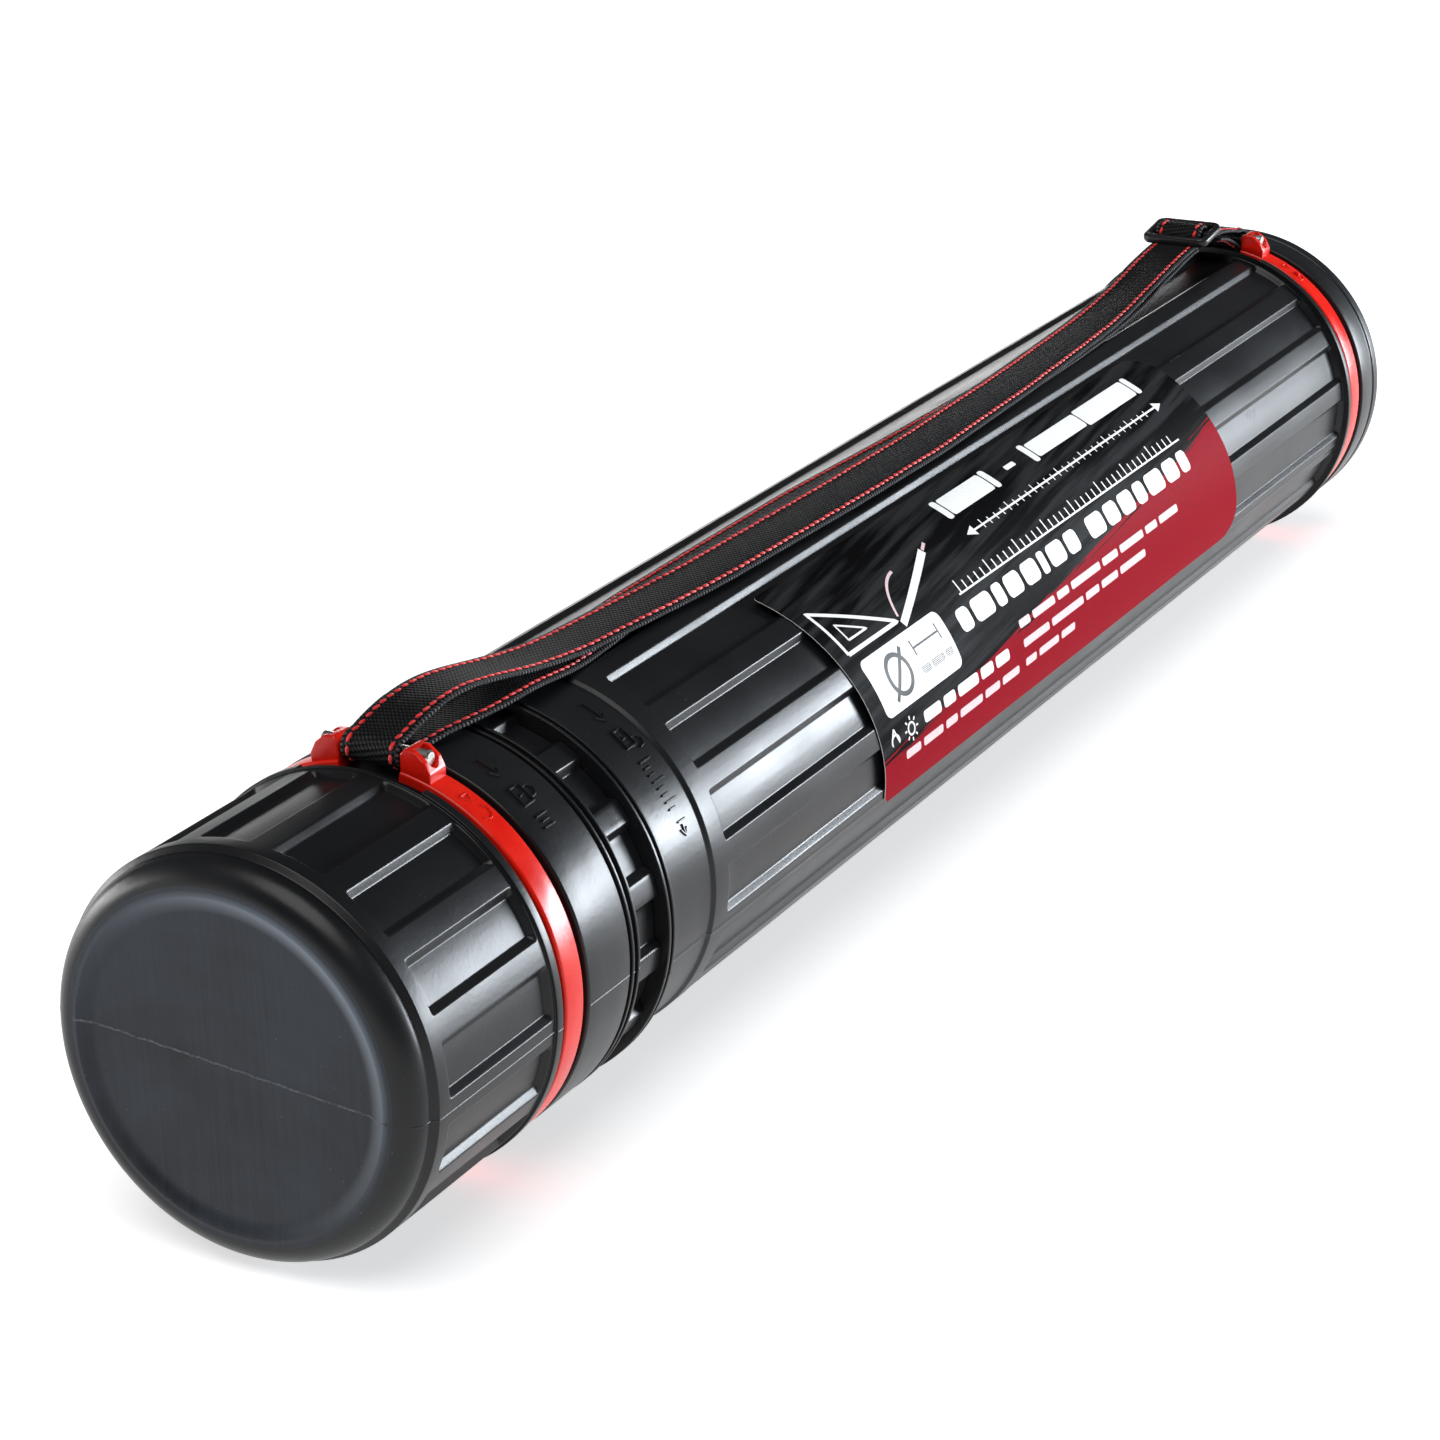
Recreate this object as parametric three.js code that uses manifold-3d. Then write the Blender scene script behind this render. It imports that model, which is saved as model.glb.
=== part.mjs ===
// Telescoping drafting tube: a blow-moulded outer tube, a ribbed inner tube with a closed head that
// slides out of it and twists to lock, a screw cap, and a webbing strap held by two red clip rings.
// Millimetres. X runs along the tube (closed head at -X), +Z is up, and the floor is z = 0.
import * as THREE from 'three';
import { mergeVertices } from 'three/addons/utils/BufferGeometryUtils.js';
import Module from 'manifold-3d';

const wasm = await Module();
wasm.setup();

// ---- driving dimensions -------------------------------------------------------------------------
const closedLength = 768.35; // 30 1/4 in, head face to cap face
const restRadius = 64.6; // flat facets of the mouth flanges and the far rim stand on the floor
const bodyRadius = 61.9; // outer tube over its ribs, 4 7/8 in across
const pocketDepth = 2.0;
const ribCount = 16;
const ribHalfAngle = 3.5; // degrees, flat top of a rib
const ribWallAngle = 1.9; // degrees taken by each sloping rib wall
const outerTurn = 14.9; // degrees that the outer tube is turned from the strap lugs
const innerTurn = 5.1; // the same for the head barrel, 9.8 degrees from being in line with it
const slideTurn = 9; // the same for the sliding part behind it
const roundSides = 48;
const restSides = 24; // coarse sides, so the tube stands still on its flanges

const outerBore = 58.0;
const innerRibRadius = 57.0;
const innerFloorRadius = 54.9;
const innerBore = 53.2;
const headBore = 58.8;
const barrelRadius = 63.0;
const lockBandRadius = 63.4;
const innerFlangeRadius = 63.6;
const innerRimRadius = 63.9;
const adjustBandRadius = 60.9;
const ringGrooveRadius = 59.9;

// stations along the tube, measured from the head face
const headFlankStart = 9.0;
const headFlankEnd = 10.5;
const barrelPocketStart = 15.6;
const barrelPocketEnd = 69.8;
const innerRim = [70.8, 74.0];
const nearRing = [76.5, 86.5];
const lockBand = [89.0, 112.8];
const innerFlanges = [[114.0, 115.2], [117.2, 118.4]];
const gripSpan = [117.8, 134.6]; // ribbed as wide as the body, it meets the mouth when closed
const gripRadius = 61.2;
const innerTubeEnd = 700;
const mouthFlanges = [[135.0, 136.3], [137.7, 139.0]];
const bodyStart = 167.5;
const bodyPocketStart = 176.0;
const bodyPocketEnd = 726.8;
const farRim = [726.8, 730.0];
const farRing = [733.5, 743.5];
const neckStart = 746.2;
const neckEnd = 762.0;
const neckRadius = 57.6;
const neckThreadRadius = 58.4;
const neckBore = 54.6;

const lockLug = { from: 146, to: 154, depth: 2.1, width: 3.4, centre: 25.15, count: 8 };
const rimGapHalfAngle = 19; // both black rims stop here to let the strap through
const ringInner = 60.4;
const ringOuter = 63.2;
const ringGapHalfAngle = 9.4;
const pinRadius = 2.4;
const pinHalfLength = 18.4;
const pinHeight = 66.2; // above the tube's axis
const pinBore = 2.6;
const lugLength = 8.8;

const capRadius = 63.7;
const capEdge = 3.2;
const capWall = 2.4;
const capSkirtBore = 59.2;
const strapWidth = 20;
const strapThick = 1.3;
const loopWidth = 18.4;
const slider = { at: 692, height: 78.6, tilt: 6, length: 21, width: 29, thick: 3.6, bar: 3.4, rail: 3.2 };
const label = { from: 262, to: 580, low: 23.5, high: 107, skew: 0.3, thick: 0.25, lift: 0.3 };
const gap = 0.3;

// ---- helpers --------------------------------------------------------------------------------------
const rad = THREE.MathUtils.degToRad;
const toTubeAxis = new THREE.Matrix4().makeBasis(
  new THREE.Vector3(0, 1, 0), new THREE.Vector3(0, 0, 1), new THREE.Vector3(1, 0, 0));

// angles run from the top (+Z) towards -Y
function ringPoint(radius, degrees) {
  return new THREE.Vector2(-radius * Math.sin(rad(degrees)), radius * Math.cos(rad(degrees)));
}

function circle(radius, sides = roundSides) {
  const points = [];
  for (let i = 0; i < sides; i += 1) {
    points.push(ringPoint(radius, ((i + 0.5) * 360) / sides));
  }
  return points;
}

// a polygon whose flat sides, not its corners, lie at the radius
function flats(radius, sides) {
  return circle(radius / Math.cos(Math.PI / sides), sides);
}

function ribbed(ribRadius, floorRadius, turn) {
  const points = [];
  const pitch = 360 / ribCount;
  for (let i = 0; i < ribCount; i += 1) {
    const centre = turn + i * pitch;
    points.push(ringPoint(ribRadius, centre - ribHalfAngle));
    points.push(ringPoint(ribRadius, centre + ribHalfAngle));
    points.push(ringPoint(floorRadius, centre + ribHalfAngle + ribWallAngle));
    points.push(ringPoint(floorRadius, centre + pitch / 2));
    points.push(ringPoint(floorRadius, centre + pitch - ribHalfAngle - ribWallAngle));
  }
  return points;
}

function sector(inner, outer, from, to, steps) {
  const points = [];
  for (let i = 0; i <= steps; i += 1) {
    points.push(ringPoint(outer, from + ((to - from) * i) / steps));
  }
  for (let i = steps; i >= 0; i -= 1) {
    points.push(ringPoint(inner, from + ((to - from) * i) / steps));
  }
  return points;
}

// an outline across the tube, drawn along it from one station to another
function along(outline, from, to) {
  const geometry = new THREE.ExtrudeGeometry(new THREE.Shape(outline), { depth: to - from, bevelEnabled: false });
  geometry.applyMatrix4(toTubeAxis);
  geometry.translate(from, 0, 0);
  return solidOf(geometry);
}

// an outline in the lengthwise plane (station, height), given a width across the tube
function across(outline, width) {
  const geometry = new THREE.ExtrudeGeometry(new THREE.Shape(outline), { depth: width, bevelEnabled: false });
  geometry.rotateX(Math.PI / 2);
  geometry.translate(0, width / 2, 0);
  return geometry;
}

function solidOf(geometry) {
  const bare = new THREE.BufferGeometry();
  bare.setAttribute('position', geometry.getAttribute('position').clone());
  if (geometry.index) bare.setIndex(geometry.index.clone());
  const merged = mergeVertices(bare, 1e-5);
  const mesh = new wasm.Mesh({
    numProp: 3,
    vertProperties: new Float32Array(merged.getAttribute('position').array),
    triVerts: new Uint32Array(merged.index.array),
  });
  return new wasm.Manifold(mesh);
}

function geometryOf(solid) {
  const mesh = solid.getMesh();
  const geometry = new THREE.BufferGeometry();
  geometry.setAttribute('position', new THREE.BufferAttribute(new Float32Array(mesh.vertProperties), 3));
  geometry.setIndex(new THREE.BufferAttribute(new Uint32Array(mesh.triVerts), 1));
  geometry.computeVertexNormals();
  return geometry;
}

function joined(solids) {
  return solids.reduce((sum, solid) => sum.add(solid));
}

// a lathe profile of [station, radius] points that starts and ends on the axis
function turned(profile) {
  const points = profile.map(([station, radius]) => new THREE.Vector2(radius, station));
  const geometry = new THREE.LatheGeometry(points, roundSides, Math.PI / roundSides);
  geometry.rotateZ(-Math.PI / 2);
  return solidOf(geometry);
}

function arcProfile(centreStation, centreRadius, radius, from, to, steps) {
  const points = [];
  for (let i = 0; i <= steps; i += 1) {
    const angle = rad(from + ((to - from) * i) / steps);
    points.push([centreStation + radius * Math.cos(angle), centreRadius + radius * Math.sin(angle)]);
  }
  return points;
}

const group = new THREE.Group();
group.name = 'drawing_tube';
const assembly = new THREE.Group();
assembly.position.set(-closedLength / 2, 0, restRadius);
group.add(assembly);

function add(name, geometry, material) {
  const mesh = new THREE.Mesh(geometry, material);
  mesh.name = name;
  assembly.add(mesh);
}

function plastic(color, roughness) {
  return new THREE.MeshStandardMaterial({ color, roughness, metalness: 0 });
}

const blackPlastic = plastic(0x17181a, 0.42);
const redPlastic = plastic(0xe0200f, 0.3);
const webbing = plastic(0x131314, 0.85);
const sealRubber = plastic(0x2a2a2b, 0.8);
const labelFilm = plastic(0x55101c, 0.4);
const steel = new THREE.MeshStandardMaterial({ color: 0xb9bcc0, roughness: 0.3, metalness: 1 });

// ---- the two tubes ----------------------------------------------------------------------------------
function rimGap(rim) {
  const wedge = [ringPoint(ringGrooveRadius, rimGapHalfAngle), ringPoint(ringGrooveRadius, -rimGapHalfAngle)];
  wedge.push(ringPoint(80, -rimGapHalfAngle), ringPoint(80, rimGapHalfAngle));
  return along(wedge, rim[0] + 0.4, rim[1] + 0.01);
}

function outerTube() {
  const pieces = mouthFlanges.map(([from, to]) => along(flats(restRadius, restSides), from, to));
  pieces.push(along(circle(adjustBandRadius), mouthFlanges[0][0], bodyStart));
  pieces.push(along(circle(bodyRadius), bodyStart, bodyPocketStart));
  pieces.push(along(ribbed(bodyRadius, bodyRadius - pocketDepth, outerTurn), bodyPocketStart, bodyPocketEnd));
  pieces.push(along(flats(restRadius, restSides), farRim[0], farRim[1]).subtract(rimGap(farRim)));
  pieces.push(along(circle(ringGrooveRadius), farRim[0], neckStart));
  pieces.push(along(circle(neckRadius), neckStart - 0.5, neckEnd));
  const turns = [749.5, 753.5, 757.5];
  turns.forEach((station) => pieces.push(along(circle(neckThreadRadius), station, station + 1.6)));
  const bore = along(circle(outerBore), mouthFlanges[0][0] - 1, neckStart - 4);
  const mouth = along(circle(neckBore), neckStart - 5, neckEnd + 1);
  const lugs = [];
  for (let i = 0; i < lockLug.count; i += 1) {
    const centre = lockLug.centre + (i * 360) / lockLug.count;
    const half = lockLug.width / 2;
    lugs.push(along(sector(outerBore - lockLug.depth, outerBore + 1, centre - half, centre + half, 2),
      lockLug.from, lockLug.to));
  }
  return geometryOf(joined([joined(pieces).subtract(bore).subtract(mouth), ...lugs]));
}

function innerTube() {
  const rounding = arcProfile(8.2, 53.4, 7.8, 175, 95, 6);
  const head = turned([[0, 0], [0, 52.6], ...rounding, [headFlankStart, 61.1], [headFlankEnd, barrelRadius],
    [barrelPocketStart, barrelRadius], [barrelPocketStart, headBore], [9.5, headBore - 1.2],
    [4.6, 55.4], [2.2, 50.6], [2.2, 0]]);
  const pieces = [
    along(ribbed(barrelRadius, barrelRadius - pocketDepth - 0.2, innerTurn), barrelPocketStart, barrelPocketEnd),
    along(circle(barrelRadius), barrelPocketEnd, innerRim[0]),
    along(circle(innerRimRadius), innerRim[0], innerRim[1]).subtract(rimGap(innerRim)),
    along(circle(ringGrooveRadius), innerRim[0], lockBand[0]),
    along(circle(lockBandRadius), lockBand[0], lockBand[1]),
    along(circle(61), lockBand[1], innerFlanges[1][1]),
  ];
  innerFlanges.forEach(([from, to]) => pieces.push(along(circle(innerFlangeRadius), from, to)));
  const bore = along(circle(headBore - 1.2), barrelPocketStart - 0.5, innerFlanges[1][0]);
  const grip = along(ribbed(gripRadius, gripRadius - pocketDepth, slideTurn), gripSpan[0], gripSpan[1]);
  const slide = along(ribbed(innerRibRadius, innerFloorRadius, slideTurn), innerFlanges[1][0] - 1, innerTubeEnd);
  const slideBore = along(circle(innerBore), innerFlanges[0][0] - 1, innerTubeEnd + 1);
  const shell = joined(pieces).subtract(bore);
  return geometryOf(joined([head, shell, grip, slide]).subtract(slideBore));
}

// ---- cap and seal -----------------------------------------------------------------------------------
function endCap() {
  const edge = arcProfile(closedLength - capEdge, capRadius - capEdge, capEdge, 0, 90, 4);
  const start = neckStart + gap;
  return geometryOf(turned([[closedLength, 0], ...edge, [761.2, capRadius], [760.6, capRadius - 0.6],
    [759.4, capRadius - 0.6], [758.8, capRadius], [start + 0.8, capRadius], [start, capRadius - 0.8],
    [start, capSkirtBore], [closedLength - capWall, capSkirtBore], [closedLength - capWall, 0]].reverse()));
}

function capSeal() {
  const from = neckEnd + gap;
  const to = closedLength - capWall - gap;
  return geometryOf(along(circle(57.4), from, to).subtract(along(circle(neckBore + 0.4), from - 1, to + 1)));
}

// ---- clip rings, pins -------------------------------------------------------------------------------
function lugOutline(side) {
  const points = [[10.4, 60.2], [10.4, 68.6], [12.2, 70.0], [15.4, 69.6], [18.4, 66.6], [20.2, 62.8], [20.0, 59.6],
    [15.6, 58.6]];
  return points.map(([y, z]) => new THREE.Vector2(side * y, z));
}

function strapRing(ring) {
  const band = along(sector(ringInner, ringOuter, ringGapHalfAngle, 360 - ringGapHalfAngle, 56), ring[0], ring[1]);
  const middle = (ring[0] + ring[1]) / 2;
  const lugs = [1, -1].map((side) => along(lugOutline(side), middle - lugLength / 2, middle + lugLength / 2));
  const groove = along(circle(ringInner), middle - lugLength, middle + lugLength);
  const bore = new THREE.CylinderGeometry(pinBore, pinBore, 60, 16);
  bore.translate(middle, 0, pinHeight);
  return geometryOf(joined([band, ...lugs]).subtract(groove).subtract(solidOf(bore)));
}

function strapPin(ring) {
  const pin = new THREE.CylinderGeometry(pinRadius, pinRadius, 2 * pinHalfLength, 16);
  pin.translate((ring[0] + ring[1]) / 2, 0, pinHeight);
  return geometryOf(solidOf(pin));
}

// ---- slider and strap -------------------------------------------------------------------------------
function strapSlider() {
  const { length, width, thick, bar, rail } = slider;
  const block = new THREE.BoxGeometry(length, width, thick);
  const slotLength = (length - 2 * rail - bar) / 2;
  const slots = [1, -1].map((side) => {
    const slot = new THREE.BoxGeometry(slotLength, width - 2 * rail, thick * 2);
    slot.translate((side * (slotLength + bar)) / 2, 0, 0);
    return solidOf(slot);
  });
  const geometry = geometryOf(slots.reduce((sum, slot) => sum.subtract(slot), solidOf(block)));
  geometry.rotateY(rad(slider.tilt));
  geometry.translate(slider.at, 0, slider.height);
  return geometry;
}

// a band of webbing whose middle follows the curve through [station, height] points, and whose
// sideways place follows the drift points [station, y]
function strapBand(route, drift) {
  const curve = new THREE.CatmullRomCurve3(route.map(([s, z]) => new THREE.Vector3(s, z, 0)), false, 'centripetal');
  const steps = Math.max(10, Math.round(curve.getLength() / 9));
  const upper = [];
  const lower = [];
  for (let i = 0; i <= steps; i += 1) {
    const point = curve.getPointAt(i / steps);
    const heading = curve.getTangentAt(i / steps);
    upper.push(new THREE.Vector2(point.x - (heading.y * strapThick) / 2, point.y + (heading.x * strapThick) / 2));
    lower.push(new THREE.Vector2(point.x + (heading.y * strapThick) / 2, point.y - (heading.x * strapThick) / 2));
  }
  const geometry = across([...upper, ...lower.reverse()], strapWidth);
  const position = geometry.getAttribute('position');
  for (let i = 0; i < position.count; i += 1) {
    position.setY(i, position.getY(i) + driftAt(drift, position.getX(i)));
  }
  return geometryOf(solidOf(geometry));
}

function driftAt(drift, station) {
  for (let i = 1; i < drift.length; i += 1) {
    if (station <= drift[i][0]) {
      const share = Math.max(0, (station - drift[i - 1][0]) / (drift[i][0] - drift[i - 1][0]));
      return drift[i - 1][1] + share * (drift[i][1] - drift[i - 1][1]);
    }
  }
  return drift[drift.length - 1][1];
}

// the webbing's turn round a pin, open towards the far side for the near pin and the other way round
function pinLoop(ring, from, to) {
  const inner = pinRadius + gap;
  const points = [];
  const steps = 12;
  const at = (radius, degrees) => new THREE.Vector2(
    (ring[0] + ring[1]) / 2 + radius * Math.cos(rad(degrees)), pinHeight + radius * Math.sin(rad(degrees)));
  for (let i = 0; i <= steps; i += 1) points.push(at(inner + strapThick, from + ((to - from) * i) / steps));
  for (let i = steps; i >= 0; i -= 1) points.push(at(inner, from + ((to - from) * i) / steps));
  return geometryOf(solidOf(across(points, loopWidth)));
}

const topRoute = [[83.2, 70.3], [88, 71.6], [96, 73.4], [106, 74.6], [116, 74.5], [128, 73], [144, 70], [160, 67.4],
  [180, 65.6], [210, 64.7], [300, 64.5], [450, 64.5], [560, 64.7], [600, 66], [630, 69], [655, 73.5], [680.6, 79.6]];
const topDrift = [[80, 0], [92, 0], [120, -1], [200, -3], [260, -7], [350, -9], [420, -9.5], [500, -7], [560, -4], [620, -2],
  [690, 0]];
const underRoute = [[83.6, 62.5], [87, 63.7], [91, 64.8], [96, 65.2], [114, 65.6], [140, 65.9], [160, 64.4], [180, 63], [300, 62.9],
  [450, 62.9], [560, 62.9], [600, 63.9], [630, 66.6], [655, 71.2], [680.8, 77.4]];
const underDrift = [[84, 0], [91, 0], [130, -6], [170, -4], [230, 1], [350, 1], [420, -3], [500, -5], [560, -4], [620, -2],
  [690, 0]];
const tabRoute = [[702.8, 77.9], [712, 77], [722, 74.8], [731, 72], [736.2, 70.4]];

// ---- label ------------------------------------------------------------------------------------------
function labelSheet() {
  const inner = bodyRadius + label.lift;
  const geometry = new THREE.ExtrudeGeometry(
    new THREE.Shape(sector(inner, inner + label.thick, label.low, label.high, 20)),
    { depth: label.to - label.from, bevelEnabled: false });
  geometry.applyMatrix4(toTubeAxis);
  const position = geometry.getAttribute('position');
  for (let i = 0; i < position.count; i += 1) {
    const angle = THREE.MathUtils.radToDeg(Math.atan2(-position.getY(i), position.getZ(i)));
    position.setX(i, position.getX(i) + label.from + label.skew * (angle - label.low));
  }
  return geometryOf(solidOf(geometry));
}

add('outer_tube', outerTube(), blackPlastic);
add('inner_tube', innerTube(), blackPlastic);
add('end_cap', endCap(), blackPlastic);
add('cap_seal', capSeal(), sealRubber);
add('strap_ring_near', strapRing(nearRing), redPlastic);
add('strap_ring_far', strapRing(farRing), redPlastic);
add('strap_pin_near', strapPin(nearRing), steel);
add('strap_pin_far', strapPin(farRing), steel);
add('strap_slider', strapSlider(), blackPlastic);
add('strap_near_loop', pinLoop(nearRing, 80, 280), webbing);
add('strap_top_run', strapBand(topRoute, topDrift), webbing);
add('strap_under_run', strapBand(underRoute, underDrift), webbing);
add('strap_far_tab', strapBand(tabRoute, [[700, 0], [740, 0]]), webbing);
add('strap_far_loop', pinLoop(farRing, 100, -100), webbing);
add('label_sheet', labelSheet(), labelFilm);

export default group;
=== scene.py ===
import math
import random

import bpy
import bmesh
import numpy as np
from mathutils import Matrix, Vector


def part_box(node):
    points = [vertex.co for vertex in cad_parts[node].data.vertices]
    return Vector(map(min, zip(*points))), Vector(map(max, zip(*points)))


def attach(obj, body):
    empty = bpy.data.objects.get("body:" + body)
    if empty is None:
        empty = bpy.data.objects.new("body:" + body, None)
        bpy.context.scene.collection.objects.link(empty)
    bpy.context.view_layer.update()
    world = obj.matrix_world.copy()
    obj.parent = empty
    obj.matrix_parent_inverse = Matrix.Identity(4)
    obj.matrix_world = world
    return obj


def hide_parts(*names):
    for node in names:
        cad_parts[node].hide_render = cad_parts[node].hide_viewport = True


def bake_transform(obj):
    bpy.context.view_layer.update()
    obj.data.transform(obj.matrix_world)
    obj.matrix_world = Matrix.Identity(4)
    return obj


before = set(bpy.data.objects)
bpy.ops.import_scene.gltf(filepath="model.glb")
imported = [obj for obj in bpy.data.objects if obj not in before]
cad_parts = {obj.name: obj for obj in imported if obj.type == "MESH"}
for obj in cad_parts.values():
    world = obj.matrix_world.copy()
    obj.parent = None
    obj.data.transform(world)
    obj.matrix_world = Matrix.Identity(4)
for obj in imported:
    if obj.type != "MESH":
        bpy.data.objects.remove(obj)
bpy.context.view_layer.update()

# Telescoping drafting tube. Stations run along the tube in mm from the closed head's face,
# angles run round it in degrees from the top towards the near side (-Y).
mm = 0.001
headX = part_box("inner_tube")[0].x
axisZ = (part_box("outer_tube")[0].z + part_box("outer_tube")[1].z) / 2
scene = bpy.context.scene
print("frame loaded:", len(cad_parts), "nodes")


# ---- camera ----
camera = {
    "place": (-1.10373, -0.55965, 0.51856),
    "target": (0, 0.05628, 0.02249),
    "roll": -1.3195,
    "lens": 91.364,
    "sensor": 36,
}


def makeCamera():
    data = bpy.data.cameras.new("studioCamera")
    data.lens = camera["lens"]
    data.sensor_width = camera["sensor"]
    data.clip_end = 30
    shot = bpy.data.objects.new("studioCamera", data)
    scene.collection.objects.link(shot)
    look = (Vector(camera["target"]) - Vector(camera["place"])).normalized()
    turn = look.to_track_quat("-Z", "Y").to_matrix().to_4x4()
    roll = Matrix.Rotation(math.radians(camera["roll"]), 4, "Z")
    shot.matrix_world = Matrix.Translation(Vector(camera["place"])) @ turn @ roll
    scene.camera = shot


makeCamera()


# ---- studio ----
studio = {
    "floorSize": 40,
    "floorGlow": 0.55,
    "skyStrength": 0.08,
    "sunStrength": 1.8,
    "keyPower": 84,
    "keyColour": (0.86, 0.93, 1),
    "keyPlace": (1.7, -1.62, 0.27),
    "keyAim": (0, 0, 0.06),
    "keySize": (1.15, 0.6),
    "stripPower": 7,
    "stripPlace": (1.9, 1.25, 0.42),
    "stripAim": (-0.3, 0, 0.06),
    "stripSize": (1.2, 0.3),
    "sidePower": 5,
    "sidePlace": (-0.55, 0.95, 0.16),
    "sideAim": (-0.38, 0, 0.06),
    "sideSize": (0.7, 0.2),
    "skyColour": (0.93, 0.96, 1),
    "sunSpread": 50,  # degrees
    "sunHeading": (0.35, 0.1, -1),
    "paper": 0.9,
}


def areaLight(name, part, colour=(1, 1, 1)):
    place, size = studio[part + "Place"], studio[part + "Size"]
    data = bpy.data.lights.new(name, "AREA")
    data.shape = "RECTANGLE"
    data.size = size[0]
    data.size_y = size[1]
    data.energy = studio[part + "Power"]
    data.color = colour
    lamp = bpy.data.objects.new(name, data)
    scene.collection.objects.link(lamp)
    lamp.location = place
    lamp.rotation_mode = "QUATERNION"
    lamp.rotation_quaternion = (Vector(studio[part + "Aim"]) - Vector(place)).to_track_quat("-Z", "Y")


def makeStudio():
    scene.view_settings.view_transform = "Standard"
    world = bpy.data.worlds.new("studioSky")
    scene.world = world
    world.use_nodes = True
    sky = world.node_tree.nodes["Background"]
    sky.inputs["Color"].default_value = (*studio["skyColour"], 1)
    sky.inputs["Strength"].default_value = studio["skyStrength"]
    sun = bpy.data.lights.new("overheadSun", "SUN")
    sun.energy = studio["sunStrength"]
    sun.angle = math.radians(studio["sunSpread"])
    lamp = bpy.data.objects.new("overheadSun", sun)
    scene.collection.objects.link(lamp)
    lamp.rotation_mode = "QUATERNION"
    lamp.rotation_quaternion = Vector(studio["sunHeading"]).to_track_quat("-Z", "Y")
    areaLight("keySoftbox", "key", studio["keyColour"])
    areaLight("backStrip", "strip")
    areaLight("sideStrip", "side")
    half = studio["floorSize"] / 2
    corners = [(-half, -half, 0), (half, -half, 0), (half, half, 0), (-half, half, 0)]
    mesh = bpy.data.meshes.new("studioFloor")
    mesh.from_pydata(corners, [], [(0, 1, 2, 3)])
    floor = bpy.data.objects.new("studioFloor", mesh)
    scene.collection.objects.link(floor)
    paper = Finish("palePaper")
    paper.put("Base Color", (studio["paper"],) * 3)
    paper.put("Roughness", 0.9)
    paper.put("Specular IOR Level", 0)
    paper.put("Emission Color", (1, 1, 1))
    paper.put("Emission Strength", studio["floorGlow"])
    mesh.materials.append(paper.material)
    print("studio made")


# ---- material helpers ----
# one procedural material, with short ways to make and join its nodes
class Finish:
    def __init__(self, name):
        self.material = bpy.data.materials.new(name)
        self.material.use_nodes = True
        self.nodes = self.material.node_tree.nodes
        self.links = self.material.node_tree.links
        self.shader = self.nodes["Principled BSDF"]

    def fill(self, socket, value):
        if isinstance(value, bpy.types.NodeSocket):
            self.links.new(value, socket)
        elif isinstance(value, tuple):
            socket.default_value = (*value, 1)
        else:
            socket.default_value = value

    def put(self, name, value):
        self.fill(self.shader.inputs[name], value)

    def math(self, operation, first, second=None, clamp=False):
        node = self.nodes.new("ShaderNodeMath")
        node.operation = operation
        node.use_clamp = clamp
        self.fill(node.inputs[0], first)
        if second is not None:
            self.fill(node.inputs[1], second)
        return node.outputs[0]

    def add(self, first, second, clamp=False):
        return self.math("ADD", first, second, clamp)

    def less(self, first, second):
        return self.math("SUBTRACT", first, second)

    def times(self, first, second, clamp=False):
        return self.math("MULTIPLY", first, second, clamp)

    def above(self, first, second):
        return self.math("GREATER_THAN", first, second)

    # a colour or a grey level at each of two places on the source
    def ramp(self, source, low, high, start=0.3, end=0.7):
        node = self.nodes.new("ShaderNodeValToRGB")
        for element, place, colour in zip(node.color_ramp.elements, (start, end), (low, high)):
            element.position = place
            element.color = (*colour, 1) if isinstance(colour, tuple) else (colour, colour, colour, 1)
        self.links.new(source, node.inputs[0])
        return node.outputs["Color"]

    def noise(self, source, scale, detail, stretch=None):
        node = self.nodes.new("ShaderNodeTexNoise")
        node.inputs["Scale"].default_value = scale
        node.inputs["Detail"].default_value = detail
        if stretch:
            mapping = self.nodes.new("ShaderNodeMapping")
            mapping.inputs["Scale"].default_value = stretch
            self.links.new(source, mapping.inputs["Vector"])
            source = mapping.outputs["Vector"]
        self.links.new(source, node.inputs["Vector"])
        return node.outputs["Fac"]

    def bump(self, height, distance, strength, below=None):
        node = self.nodes.new("ShaderNodeBump")
        node.inputs["Distance"].default_value = distance
        node.inputs["Strength"].default_value = strength
        self.links.new(height, node.inputs["Height"])
        if below is not None:
            self.links.new(below, node.inputs["Normal"])
        return node.outputs["Normal"]

    def mix(self, amount, first, second):
        node = self.nodes.new("ShaderNodeMix")
        node.data_type = "RGBA"
        self.links.new(amount, node.inputs[0])
        self.fill(node.inputs[6], first)
        self.fill(node.inputs[7], second)
        return node.outputs[2]

    def place(self):
        return self.nodes.new("ShaderNodeTexCoord").outputs["Object"]

    def parts(self, vector):
        node = self.nodes.new("ShaderNodeSeparateXYZ")
        self.links.new(vector, node.inputs[0])
        return node.outputs

    # mm along a flat piece and mm across it, kept on its points
    def flatPlace(self):
        node = self.nodes.new("ShaderNodeAttribute")
        node.attribute_name = "along"
        outputs = self.parts(node.outputs["Vector"])
        return outputs[0], outputs[1]

    def flatNoise(self, along, across, scale, detail):
        node = self.nodes.new("ShaderNodeCombineXYZ")
        self.links.new(along, node.inputs[0])
        self.links.new(across, node.inputs[1])
        return self.noise(node.outputs[0], scale, detail)


# moulded black plastic: orange peel, slow ripples, dust specks and rubbed patches
moulded = {"speckLevel": 0.92, "speckColour": (0.12, 0.125, 0.13), "specular": 0.3}


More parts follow.
